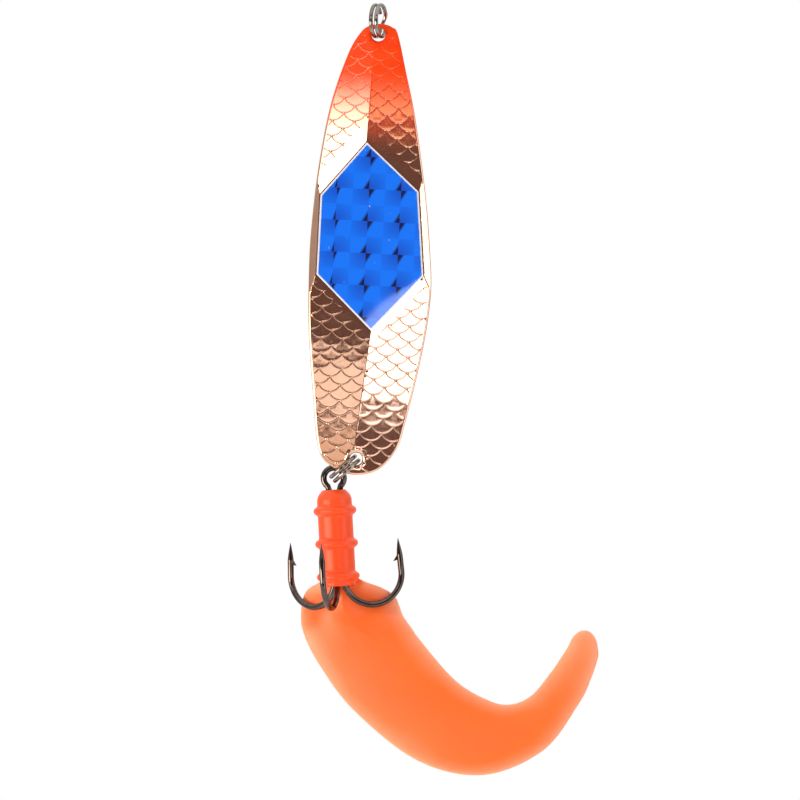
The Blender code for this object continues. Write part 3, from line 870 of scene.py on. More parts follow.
    def scale_cover(self, spots: np.ndarray) -> np.ndarray:
        """Find where the die has scales.

        Args:
            spots: Places on the sheet, across and down in millimetres.

        Returns:
            1 where there are scales and 0 where the sheet is bare.
        """
        reach, falls = self.facet_heights(spots)
        facet = falls.argmax(1)
        margin = np.array(self.bare_margins)[facet]
        outside = np.take_along_axis(reach, facet[:, None], 1)[:, 0]
        cover = eased(outside, margin - self.bare_ease, margin)
        near, far = self.hole_clear
        for hole, radius in zip(self.holes(), self.hole_radii):
            cover *= eased(np.linalg.norm(spots - hole, axis=1), radius + near, radius + far)
        return cover * eased(edge_distance(self.rim, spots), *self.rim_clear)

    def crest(self, spots: np.ndarray) -> np.ndarray:
        """Return 1 on the crest of a scale line and 0 away from it."""
        share = np.clip(1 - (self.line_distance(spots) / self.scale_line) ** 2, 0, None)
        return share ** 2 * self.scale_cover(spots)

    def emboss(self, spots: np.ndarray) -> np.ndarray:
        """Raise the scale lines and the lips round the holes.

        Args:
            spots: Places on the sheet, across and down in millimetres.

        Returns:
            Rise at each spot.
        """
        rise = self.scale_rise * self.crest(spots)
        for hole, radius in zip(self.holes(), self.hole_radii):
            lip = np.linalg.norm(spots - hole, axis=1) - radius - self.edge_round
            from_crest = (lip - self.lip_wide / 2) / self.lip_wide
            rise = rise + self.hole_lip * np.clip(1 - from_crest ** 2, 0, None) ** 2
        return rise

    def front(self, spots: np.ndarray, bow: float = 1.0) -> np.ndarray:
        """Return the depth of the embossed front at each spot."""
        return self.fall(spots, bow) - self.emboss(spots)

    def normals(self, spots: np.ndarray, depth: Any) -> np.ndarray:
        """Work out the normals of a front.

        Args:
            spots: Places on the sheet, across and down in millimetres.
            depth: Function that gives the depth at spots.

        Returns:
            A unit normal for each spot, which faces the front.
        """
        slope = []
        for axis in (0, 1):
            step = np.zeros(2)
            step[axis] = self.probe
            slope.append((depth(spots + step) - depth(spots - step)) / (2 * self.probe))
        return unit_rows(in_space(np.stack(slope, 1), -np.ones(len(spots))))

    def holes(self) -> np.ndarray:
        """Return the centres of the top and bottom hole."""
        return np.array(((0.0, 0.0), (0.0, self.hole_pitch)))

    @cached_property
    def rim(self) -> np.ndarray:
        """Loop where the front meets its rounded edge."""
        loop = closed_curve(self.outline, self.outline_steps)
        return loop - outward(loop) * self.edge_round


@dataclass
class Sheet:
    """Flat triangulation that gathers loops, lines and single points."""

    points: list[np.ndarray] = field(default_factory=list)
    edges: list[tuple[int, int]] = field(default_factory=list)
    loops: list[range] = field(default_factory=list)
    weld: float = 1e-4

    def add_loop(self, loop: np.ndarray) -> None:
        """Add a closed loop of edges and remember it.

        Args:
            loop: Points of a closed loop, one row each.
        """
        first, count = len(self.points), len(loop)
        self.points.extend(loop)
        self.edges.extend((first + k, first + (k + 1) % count) for k in range(count))
        self.loops.append(range(first, first + count))

    def add_line(self, line: np.ndarray, keep: np.ndarray) -> None:
        """Add the stretches of a line whose points are kept.

        Args:
            line: Points of the line, one row each.
            keep: True for each point to keep.
        """
        previous = None
        for point, kept in zip(line, keep):
            current = len(self.points) if kept else None
            if kept:
                self.points.append(point)
                if previous is not None:
                    self.edges.append((previous, current))
            previous = current

    def triangulate(self) -> tuple[np.ndarray, np.ndarray, list[list[int]]]:
        """Fill the gathered points and edges with triangles.

        Returns:
            The points, the triangles and each loop's point numbers.
        """
        flat = [Vector((float(x), float(y))) for x, y in self.points]
        spots, _, faces, sources, _, _ = delaunay_2d_cdt(flat, self.edges, [], 0, self.weld)
        found = {source: index for index, group in enumerate(sources) for source in group}
        loops = [[found[k] for k in loop] for loop in self.loops]
        return np.array([tuple(p) for p in spots]), np.array(faces), loops


@dataclass
class EmbossedBlade:
    """The stamped blade with its scales, lips and rounded edges."""

    form: BladeForm
    finish: LacqueredCopper
    origin: Vector
    line_steps: int = 12
    line_shares: tuple[float, ...] = (-1.0, -0.5, 0.0, 0.5, 1.0)
    edge_points: int = 24
    edge_offsets: tuple[float, ...] = (-0.2, 0.0, 0.2)
    soft_offsets: tuple[float, ...] = (-2.0, -1.3, -0.6, -0.2, 0.0, 0.2, 0.6, 1.3, 2.0)
    crease_points: int = 40
    crease_reach: tuple[float, float] = (0.1, 30.0)
    crease_offsets: tuple[float, ...] = (-0.15, 0.0, 0.15)
    scale_reach: float = 2.0
    fill_pitch: float = 0.6
    fill_clear: float = 0.4
    loop_clear: float = 0.1
    hole_points: int = 40
    round_steps: int = 3

    def world(self) -> Matrix:
        """Return the blade's place: hung from the top ring with its small lean."""
        lean = Matrix.Rotation(math.radians(self.form.lean_deg), 4, "Y")
        return Matrix.Translation(self.origin) @ lean

    def sheet(self) -> tuple[np.ndarray, np.ndarray, list[list[int]]]:
        """Lay triangles along the front's outline, holes, creases and scales.

        Returns:
            The points, the triangles and the loops of the outline and holes.
        """
        form, sheet = self.form, Sheet()
        rim = form.rim
        sheet.add_loop(rim)
        turn = np.linspace(0, 2 * math.pi, self.hole_points, endpoint=False)
        spokes = np.stack((np.sin(turn), np.cos(turn)), 1)
        rounded = np.array(form.hole_radii) + form.edge_round
        holes = [hole + radius * spokes for hole, radius in zip(form.holes(), rounded)]
        for hole in holes:
            sheet.add_loop(hole)
        for line in self.crease_lines() + self.scale_lines() + self.fill_lines():
            sheet.add_line(line, self.clear_of_loops(line, [rim, *holes]))
        spots, faces, loops = sheet.triangulate()
        middle = spots[faces].mean(1)
        kept = inside(rim, middle)
        for hole in holes:
            kept &= ~inside(hole, middle)
        return spots, faces[kept], loops

    def clear_of_loops(self, line: np.ndarray, loops: Sequence[np.ndarray]) -> np.ndarray:
        """Find the points of a line that are on the sheet and clear of its edges.

        Args:
            line: Points of the line, one row each.
            loops: The outline, then the holes.

        Returns:
            True for each clear point.
        """
        kept = inside(loops[0], line)
        for hole in loops[1:]:
            kept &= ~inside(hole, line)
        for loop in loops:
            kept &= edge_distance(loop, line) > self.loop_clear
        return kept

    def crease_lines(self) -> list[np.ndarray]:
        """Draw the hexagon's edges and the creases from its corners.

        Returns:
            Lines along each, with lines beside it for its eased sides.
        """
        form = self.form
        corners = np.array(form.hexagon)
        out = outward(corners, back=0)
        pulls = out * np.array(form.slopes)[:, None]
        lines = []
        for index, corner in enumerate(corners):
            after = corners[(index + 1) % len(corners)]
            shares = np.linspace(0, 1, self.edge_points)[:, None]
            edge = corner + (after - corner) * shares
            offsets = self.soft_offsets if index == form.soft_facet else self.edge_offsets
            lines += [edge + out[index] * offset for offset in offsets]
            change = pulls[index] - pulls[index - 1]
            along = np.array((-change[1], change[0])) / np.hypot(*change)
            along *= np.sign(along @ (out[index] + out[index - 1]))
            side = np.array((along[1], -along[0]))
            crease = corner + along * np.linspace(*self.crease_reach, self.crease_points)[:, None]
            lines += [crease + side * offset for offset in self.crease_offsets]
        return lines

    def steps_over(self, low: float, high: float, start: float, pitch: float) -> range:
        """Return the numbers of the steps of a pitch that cover a stretch and a little more."""
        return range(round((low - start) / pitch), round((high + self.scale_reach - start) / pitch))

    def scale_lines(self) -> list[np.ndarray]:
        """Draw every scale's lower edge.

        Returns:
            Lines along its crest and slopes.
        """
        form = self.form
        low, high = np.array(form.outline).min(0), np.array(form.outline).max(0)
        angles = np.linspace(-form.scale_angle, form.scale_angle, self.line_steps + 1)
        spokes = np.stack((np.sin(angles), np.cos(angles)), 1)
        radii = [form.scale_radius + share * form.scale_line for share in self.line_shares]
        lines = []
        first_across, first_down = form.scale_start
        for row in self.steps_over(low[1], high[1], first_down, form.scale_drop):
            shift = first_across + (row % 2) * form.scale_wide / 2
            for column in self.steps_over(low[0], high[0], shift, form.scale_wide):
                bottom = np.array((shift + column * form.scale_wide, first_down + row * form.scale_drop))
                centre = bottom - np.array((0.0, form.scale_radius))
                lines += [centre + radius * spokes for radius in radii]
        covered = form.scale_cover(np.concatenate(lines)).reshape(len(lines), -1) > 0.0
        return [part for line, cover in zip(lines, covered) for part in split_runs(line, cover)]

    def fill_lines(self) -> list[np.ndarray]:
        """Fill the plain stretches of the sheet.

        Returns:
            Lines of a single point.
        """
        form = self.form
        spots = grid_over(np.array(form.outline), self.fill_pitch, self.fill_pitch / 2)
        clear = (form.line_distance(spots) > self.fill_clear) | (form.scale_cover(spots) <= 0.0)
        return [spot[None] for spot in spots[clear]]

    def build(self) -> bpy.types.Object:
        """Build the blade and place it on its body.

        Returns:
            The new piece.
        """
        form = self.form
        spots, faces, loops = self.sheet()
        depth = form.front(spots, form.bow_kept)
        normal = form.normals(spots, form.front)
        count = len(spots)
        places = [in_space(spots, depth), in_space(spots, depth + form.thickness)]
        facing = [normal, -normal]
        polygons = [tuple(face) for face in faces] + [tuple(face[::-1] + count) for face in faces]
        total = 2 * count
        for loop in loops:
            ring = np.array(loop)
            out = outward(spots[ring])
            rows = [ring]
            for back in (False, True):
                angles = np.linspace(0, math.pi / 2, self.round_steps + 1)[1:]
                for angle in angles[::-1] if back else angles:
                    side, drop = math.sin(angle), form.edge_round * (1 - math.cos(angle))
                    level = depth[ring] + (form.thickness - drop if back else drop)
                    places.append(in_space(spots[ring] + out * form.edge_round * side, level))
                    tilt = math.cos(angle) * (1 if back else -1)
                    facing.append(in_space(out * side, np.full(len(ring), tilt)))
                    rows.append(np.arange(total, total + len(ring)))
                    total += len(ring)
            rows.append(ring + count)
            for row, following in zip(rows, rows[1:]):
                for k in range(len(ring)):
                    after = (k + 1) % len(ring)
                    polygons.append((row[k], row[after], following[after], following[k]))
        mesh = solid_mesh("embossed_blade", np.concatenate(places) * MM, polygons)
        mesh.normals_split_custom_set_from_vertices(np.concatenate(facing).tolist())
        crest = np.zeros(len(mesh.vertices), np.float32)
        crest[:count] = form.crest(spots)
        mesh.attributes.new(CREST, "FLOAT", "POINT").data.foreach_set("value", crest)
        return new_piece("embossed_blade", mesh, self.finish.material(), Body.BLADE,
                         ["spoon_blade"], self.world())


@dataclass
class StickerLayer:
    """One film of the sticker, which follows the blade's front."""

    name: str
    node: str
    slot: Slot
    inset: float
    lift: float
    thickness: float
    edge_points: int = 20
    fill_pitch: float = 0.5
    loop_clear: float = 0.2
    pressed_edge: int = 2
    pressed_wide: tuple[float, float] = (1.0, 4.6)
    pressed_rise: float = 0.7
    pressed_slope: float = 0.16

    def facing(self, form: BladeForm, spots: np.ndarray) -> np.ndarray:
        """Turn the film's normals out where it was pressed down along one edge.

        Args:
            form: Shape of the blade.
            spots: Places on the sheet, across and down in millimetres.

        Returns:
            A unit normal for each spot.
        """
        corners = np.array(form.hexagon)
        out = outward(corners, back=0)[self.pressed_edge]
        reach = form.facet_heights(spots)[0][:, self.pressed_edge]
        start, end = corners[self.pressed_edge:self.pressed_edge + 2]
        along = (spots - start) @ (end - start) / ((end - start) @ (end - start))
        narrow, broad = self.pressed_wide
        wide = narrow + (broad - narrow) * eased(along, 0.0, self.pressed_rise)
        turn = self.pressed_slope * eased(reach, -wide, 0.0)
        return unit_rows(in_space(turn[:, None] * out, -np.ones(len(spots))))

    def build(self, blade: EmbossedBlade, material: bpy.types.Material) -> bpy.types.Object:
        """Build the film a small height in front of the blade.

        Args:
            blade: Blade that carries the sticker.
            material: Finish of the piece.

        Returns:
            The new piece.
        """
        form, sheet = blade.form, Sheet()
        corners = np.array(form.hexagon)
        out = outward(corners, back=0)
        before = np.roll(out, 1, 0)
        corners = corners - (out + before) / (1 + (out * before).sum(1, keepdims=True)) * self.inset
        shares = np.linspace(0, 1, self.edge_points, endpoint=False)[None, :, None]
        loop = (corners[:, None] + (np.roll(corners, -1, 0) - corners)[:, None] * shares).reshape(-1, 2)
        sheet.add_loop(loop)
        grid = grid_over(corners, self.fill_pitch)
        kept = inside(loop, grid) & (edge_distance(loop, grid) > self.loop_clear)
        for spot in grid[kept]:
            sheet.add_line(spot[None], np.array([True]))
        spots, faces, loops = sheet.triangulate()
        faces = faces[inside(loop, spots[faces].mean(1))]
        depth = form.fall(spots) - self.lift
        count = len(spots)
        places = np.concatenate((in_space(spots, depth - self.thickness), in_space(spots, depth)))
        polygons = [tuple(face) for face in faces] + [tuple(face[::-1] + count) for face in faces]
        ring = loops[0]
        for k, first in enumerate(ring):
            second = ring[(k + 1) % len(ring)]
            polygons.append((first, second, second + count, first + count))
        mesh = solid_mesh(self.name, places * MM, polygons)
        front, back = self.facing(form, spots), np.array((0.0, 1.0, 0.0))
        normals = [front[k] if k < count else back for polygon in mesh.polygons for k in polygon.vertices]
        mesh.normals_split_custom_set([tuple(normal) for normal in normals])
        return new_piece(self.name, mesh, material, Body.BLADE, [self.node], blade.world())


@dataclass
class SplitRing:
    """Two turns of flattened spring wire with one crossover and two cut ends."""

    name: str
    node: str
    body: Body
    world: Matrix
    outer_radius: float = 3.55 * MM
    wire: float = 0.65 * MM
    wire_wide: float = 0.82 * MM
    flatness: float = 0.9
    section_points: int = 20
    turn_pitch: float = 1.1 * MM
    turns: int = 2
    jog_half_deg: float = 30.0
    points_per_turn: int = 96

    def points(self) -> np.ndarray:
        """Draw the wire's centre line about local X.

        Returns:
            Points of the line, one row each.
        """
        radius = self.outer_radius - self.wire / 2
        jog = math.radians(self.jog_half_deg)
        first, last = jog, self.turns * 2 * math.pi - jog
        count = round((last - first) / (2 * math.pi) * self.points_per_turn)
        angle = np.linspace(first, last, count + 1)
        turn = np.floor((angle + math.pi) / (2 * math.pi))
        climb = eased(angle - turn * 2 * math.pi, -jog, jog)
        across = (turn + climb - (self.turns + 1) / 2) * self.turn_pitch
        return np.stack((across, radius * np.cos(angle), radius * np.sin(angle)), 1)

    def build(self, material: bpy.types.Material) -> bpy.types.Object:
        """Build the ring and place it on its body.

        Args:
            material: Finish of the piece.

        Returns:
            The new piece.
        """
        line = self.points()
        out = unit_rows(line * (0.0, 1.0, 1.0))
        turn = np.linspace(0, 2 * math.pi, self.section_points, endpoint=False)
        flat = [np.sign(side) * np.abs(side) ** self.flatness for side in (np.cos(turn), np.sin(turn))]
        rings = line[:, None] + out[:, None] * (flat[0] * self.wire / 2)[None, :, None]
        rings[:, :, 0] += flat[1] * self.wire_wide / 2
        mesh = swept_mesh(self.name, rings)
        mesh.set_sharp_from_angle(angle=math.radians(WIRE_SHARP_DEG))
        return new_piece(self.name, mesh, material, self.body, [self.node], self.world)


@dataclass
class TrebleHook:
    """Two bent wires: one with the eye and two bends, one with the third bend."""

    world: Matrix
    wire: float = 1.25 * MM
    eye_outer_radius: float = 2.7 * MM
    eye_open_deg: float = 40.0
    eye_neck: float = 3.3 * MM
    eye_steps: int = 48
    shank_gap: float = 0.4 * MM
    shank_length: float = 19.6 * MM
    straight_share: float = 0.6
    bend_radius: float = 6.15 * MM
    bend_steps: int = 40
    point_height: float = 6.9 * MM
    point_lean: float = 0.4 * MM
    point_steps: int = 8
    point_taper_share: float = 0.52
    taper_power: float = 1.3
    tip_scale: float = 0.06
    barb_below_tip: float = 2.6 * MM
    barb_length: float = 2.0 * MM
    barb_rise: float = 0.75 * MM
    barb_width: float = 0.45 * MM
    barb_back: float = 0.8
    barb_sharp_deg: float = 38.0
    left_deg: float = 150.0
    right_deg: float = 30.0
    front_deg: float = -90.0

    @property
    def spacing(self) -> float:
        """Distance of each shank wire from the hook's axis."""
        return (self.wire + self.shank_gap) / math.sqrt(3)

    @property
    def eye_depth(self) -> float:
        """Distance that the eye lies behind the hook's axis."""
        return self.spacing * math.sin(math.radians(self.right_deg))

    def bend(self, azimuth: float) -> tuple[list[Vector], list[float]]:
        """Draw one bend from its shank's neck to its point.

        Args:
            azimuth: Direction of the bend round the shank.

        Returns:
            Points of the centre line, and the share of the wire's radius at each.
        """
        profile = [(self.spacing, -self.eye_neck), (self.spacing, -self.shank_length * self.straight_share)]
        centre = self.spacing + self.bend_radius
        for step in range(self.bend_steps + 1):
            angle = math.pi + math.pi * step / self.bend_steps
            profile.append((centre + self.bend_radius * math.cos(angle),
                            -self.shank_length + self.bend_radius * math.sin(angle)))
        scales = [1.0] * len(profile)
        gape = centre + self.bend_radius
        shaft = 1 - self.point_taper_share
        for step in range(self.point_steps + 1):
            taper = step / self.point_steps
            share = shaft + self.point_taper_share * taper
            profile.append((gape - self.point_lean * share, -self.shank_length + self.point_height * share))
            scales.append(1 - (1 - self.tip_scale) * taper ** self.taper_power)
        across = Vector((math.cos(azimuth), math.sin(azimuth), 0.0))
        return [across * r + Vector((0.0, 0.0, z)) for r, z in profile], scales

    def eye(self) -> list[Vector]:
        """Draw the eye from its left neck to its right neck.

        Returns:
            Points of the centre line.
        """
        radius = self.eye_outer_radius - self.wire / 2
        opening = math.radians(self.eye_open_deg)
        start, sweep = -math.pi / 2 - opening, 2 * math.pi - 2 * opening
        angles = [start - sweep * step / self.eye_steps for step in range(self.eye_steps + 1)]
        return [Vector((radius * math.cos(a), self.eye_depth, radius * math.sin(a))) for a in angles]

    def barb(self, azimuth: float) -> bpy.types.Object:
        """Make the wedge that is raised from the inside of one point.

        Args:
            azimuth: Direction of the bend round the shank.

        Returns:
            A helper object to join on.
        """
        gape = self.spacing + 2 * self.bend_radius - self.point_lean / 2
        top = -self.shank_length + self.point_height - self.barb_below_tip
        edge = gape - self.wire / 2 - self.barb_rise
        back = top - self.barb_length * self.barb_back
        shape = ((gape, top), (gape, back), (edge, top - self.barb_length))
        across = Vector((math.cos(azimuth), math.sin(azimuth), 0.0))
        side = Vector((-across.y, across.x, 0.0)) * (self.barb_width / 2)
        wedge = [across * r + Vector((0.0, 0.0, z)) for r, z in shape]
        rows = [[tuple(corner + way * side) for corner in wedge] for way in (-1, 1)]
        return loose_object("barb", swept_mesh("barb", np.array(rows)))

    def wire_piece(self, name: str, line: list[Vector], scales: list[float], azimuths: Sequence[float],
                   material: bpy.types.Material) -> bpy.types.Object:
        """Build one hook wire with its barbs and place it on its body.

        Args:
            name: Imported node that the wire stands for.
            line: Centre line of the wire.
            scales: Share of the radius at each point.
            azimuths: Directions of the bends that have a barb.
            material: Finish of the piece.

        Returns:
            The new piece.
        """
        item = loose_object(name, wire_mesh(name, line, self.wire, scales))
        tools = [self.barb(azimuth) for azimuth in azimuths]
        for tool in tools:
            union = item.modifiers.new("barb", "BOOLEAN")
            union.operation, union.object, union.solver = "UNION", tool, "EXACT"
        mesh = applied_mesh(item)
        for tool in tools:
            bpy.data.objects.remove(tool, do_unlink=True)
        mesh.shade_smooth()
        mesh.set_sharp_from_angle(angle=math.radians(self.barb_sharp_deg))
        return new_piece(name + "_wire", mesh, material, Body.HOOK, [name], self.world)

    def build(self, material: bpy.types.Material) -> list[bpy.types.Object]:
        """Build both wires of the treble.

        Args:
            material: Finish of the wires.

        Returns:
            The wire with the eye and the wire without.
        """
        sides = [math.radians(deg) for deg in (self.left_deg, self.right_deg)]
        (left, left_scales), (right, right_scales) = (self.bend(azimuth) for azimuth in sides)
        eye = self.eye()
        line = left[::-1] + eye + right
        scales = left_scales[::-1] + [1.0] * len(eye) + right_scales
        front = math.radians(self.front_deg)
        return [self.wire_piece("double_hook", line, scales, sides, material),
                self.wire_piece("single_hook", *self.bend(front), [front], material)]


@dataclass(frozen=True)
class TailForm:
    """Shape of the curl tail, drawn in millimetres across from the shank and up from the sleeve's foot.

    A station has the outer edge, the inner edge and half the thickness. A root station also has the
    middle's share of the setback, the sweep of its sides and the rise of its middle into the sleeve.
    """

    sleeve_top: float = -2.3
    sleeve_foot: float = -21.6
    setback: float = 4.5
    sweep_ease: float = 1.0
    wall: float = 1.62
    lens_power: float = 0.75
    span_steps: int = 14
    ring_points: int = 48
    root: tuple[tuple[float, ...], ...] = (
        (-5.0, 0.7, 4.6, 0.4, 0.5, 0.61, 0.28, 1.05), (-7.6, -0.4, 7.6, -0.9, 0.9, 0.645, 0.36, 0.3),
        (-9.2, -2.2, 9.7, -2.7, 1.35, 0.67, 0.46, 0.06), (-9.9, -5.0, 10.6, -5.0, 1.5, 0.755, 0.42, 0.0),
        (-9.2, -9.0, 11.8, -7.0, 1.5, 0.955, 0.1, 0.0),
    )
    fin: tuple[tuple[float, ...], ...] = (
        (-6.1, -15.7, 14.2, -10.5, 1.5), (0.6, -25.3, 21.8, -20.0, 1.5), (13.2, -35.9, 28.8, -24.5, 1.5),
        (26.5, -39.3, 33.2, -25.3, 1.45), (39.0, -34.9, 37.4, -23.6, 1.3), (46.7, -26.0, 41.5, -19.2, 1.15),
        (49.5, -21.1, 43.3, -16.9, 1.05), (51.2, -16.8, 45.0, -14.6, 0.95), (51.3, -14.9, 45.6, -13.6, 0.9),
        (51.15, -13.7, 46.15, -12.6, 0.82), (50.8, -12.7, 46.9, -11.85, 0.72),
        (50.35, -12.0, 47.6, -11.4, 0.6), (49.85, -11.55, 48.3, -11.2, 0.48),
        (49.3, -11.3, 48.9, -11.2, 0.4),
    )

    def rings(self) -> np.ndarray:
        """Draw every lens-shaped section, from the root to the tip.

        Returns:
            Points by section and place in the section, in millimetres.
        """
        drawn = np.array([*self.root, *((*station, 1.0, 0.0, 0.0) for station in self.fin)])
        rows = open_curve(drawn, self.span_steps)[:, None, :]
        turn = np.linspace(0, 2 * math.pi, self.ring_points, endpoint=False)[None]
        share = (1 - np.cos(turn)) / 2
        across = rows[..., 0] + (rows[..., 2] - rows[..., 0]) * share
        rise = rows[..., 7] * self.wall * 4 * share * (1 - share)
        up = rows[..., 1] + (rows[..., 3] - rows[..., 1]) * share + rise
        sweep = np.hypot(across, self.sweep_ease) - self.sweep_ease
        middle = rows[..., 5] * self.setback + rows[..., 6] * sweep
        lens = np.sign(np.sin(turn)) * np.abs(np.sin(turn)) ** self.lens_power
        return np.stack((across, middle - rows[..., 4] * lens, up + self.sleeve_foot), 2)


@dataclass
class SoftTail:
    """The soft moulding in one piece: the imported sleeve, joined to a smooth curl."""

    form: TailForm
    hook: Matrix
    flex_point: Vector
    towards_root: Vector
    grid: float = 0.22 * MM
    smoothing: int = 4
    smooth_factor: float = 0.5
    shoulder_tall: float = 1.8
    shoulder_inset: float = 1.2
    shoulder_radius: float = 3.4
    shoulder_power: float = 1.75
    depth_blur: int = 40
    ray_reach: float = 30.0 * MM
    sleeve_shade_depth: float = 6.5 * MM
    sleeve_start: tuple[float, float] = (0.6, 2.2)
    bend_above: float = 7.0 * MM
    bend_below: float = 12.0 * MM

    def slope_shoulder(self, mesh: bpy.types.Mesh) -> None:
        """Take the sleeve's upper edge down to a sloping shoulder.

        Args:
            mesh: Mesh to change.
        """
        back = self.hook.inverted()
        for vertex in mesh.vertices:
            spot = back @ vertex.co / MM
            below = self.form.sleeve_top - spot.z
            if below < self.shoulder_tall:
                share = 1 - max(below, 0.0) / self.shoulder_tall
                limit = self.shoulder_radius - self.shoulder_inset * share ** self.shoulder_power
                shrink = min(1.0, limit / math.hypot(spot.x, spot.y))
                vertex.co = self.hook @ (Vector((spot.x * shrink, spot.y * shrink, spot.z)) * MM)

    def mark_backlight_depth(self, mesh: bpy.types.Mesh) -> None:
        """Store at each vertex how deep the moulding is from its front to its back, for the painted
        backlight and shade in the vinyl's colour.

        Args:
            mesh: Mesh to mark.
        """
        bm = bmesh.new()
        bm.from_mesh(mesh)
        tree = BVHTree.FromBMesh(bm)
        bm.free()
        through = self.hook.to_3x3() @ Vector((0.0, 1.0, 0.0))
        reach = through * self.ray_reach
        found = []
        for vertex in mesh.vertices:
            front = tree.ray_cast(vertex.co - reach, through)[3]
            behind = tree.ray_cast(vertex.co + reach, -through)[3]
            found.append(2 * self.ray_reach - front - behind if front and behind else 0.0)
        depth, count = np.array(found), len(found)
        first, second = np.array([edge.vertices[:] for edge in mesh.edges]).T
        touching = np.bincount(first, minlength=count) + np.bincount(second, minlength=count)
        for _ in range(self.depth_blur):
            near = np.bincount(first, depth[second], count) + np.bincount(second, depth[first], count)
            depth = (depth + near / touching) / 2
        back = self.hook.inverted()
        height = np.array([(back @ vertex.co).z for vertex in mesh.vertices]) / MM - self.form.sleeve_foot
        # Painted shade: the sleeve gets the full depth, so it colours deep as if shaded by the hooks inside
        # it.
        depth += (self.sleeve_shade_depth - depth) * eased(height, *self.sleeve_start)
        mesh.attributes.new(BACKLIT_DEPTH, "FLOAT", "POINT").data.foreach_set("value", depth)

    def build(self, sleeve: bpy.types.Object, material: bpy.types.Material) -> bpy.types.Object:
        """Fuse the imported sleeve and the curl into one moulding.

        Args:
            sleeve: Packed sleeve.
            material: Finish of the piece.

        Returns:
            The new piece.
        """
        curl = swept_mesh("curl", self.form.rings() * MM)
        curl.transform(self.hook)
        bm = bmesh.new()
        bm.from_mesh(sleeve.data)
        bm.from_mesh(curl)
        mesh = bpy.data.meshes.new("soft_tail")
        bm.to_mesh(mesh)
        bm.free()
        cast = loose_object("soft_tail_cast", mesh)
        remesh = cast.modifiers.new("fuse", "REMESH")
        remesh.mode, remesh.voxel_size = "VOXEL", self.grid
        smooth = cast.modifiers.new("smooth", "SMOOTH")
        smooth.factor, smooth.iterations = self.smooth_factor, self.smoothing
        whole = applied_mesh(cast)
        whole.shade_smooth()
        self.slope_shoulder(whole)
        self.mark_backlight_depth(whole)
        whole.materials.clear()
        whole.materials.append(material)
        piece = loose_object("soft_tail", whole)
        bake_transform(piece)
        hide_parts("tail_sleeve", "tail_fin")
        LOG.info("soft_tail: %d faces from hook to tail", len(whole.polygons))
        return piece


@dataclass(frozen=True)
class Softbox:
    """One soft lamp, placed in metres across, forward and up from the point that the camera looks at."""

    name: str
    across: float
    forward: float
    up: float
    wide: float
    tall: float
    radiance: float
    turn_deg: float = 0.0
    colour: tuple[float, float, float] = (1.0, 1.0, 1.0)

    def build(self, target: Vector) -> None:
        """Hang the lamp in front of its target. A lamp's power is 4 times its radiance and area.

        Args:
            target: Point that the camera looks at.
        """
        lamp = bpy.data.lights.new(self.name, "AREA")
        lamp.shape = "RECTANGLE"
        lamp.size, lamp.size_y = self.wide, self.tall
        lamp.energy = 4 * self.radiance * self.wide * self.tall
        lamp.color = self.colour
        item = loose_object(self.name, lamp)
        item.location = target + Vector((self.across, -self.forward, self.up))
        item.rotation_euler = (math.pi / 2, 0.0, math.radians(self.turn_deg))
        item.visible_camera = False


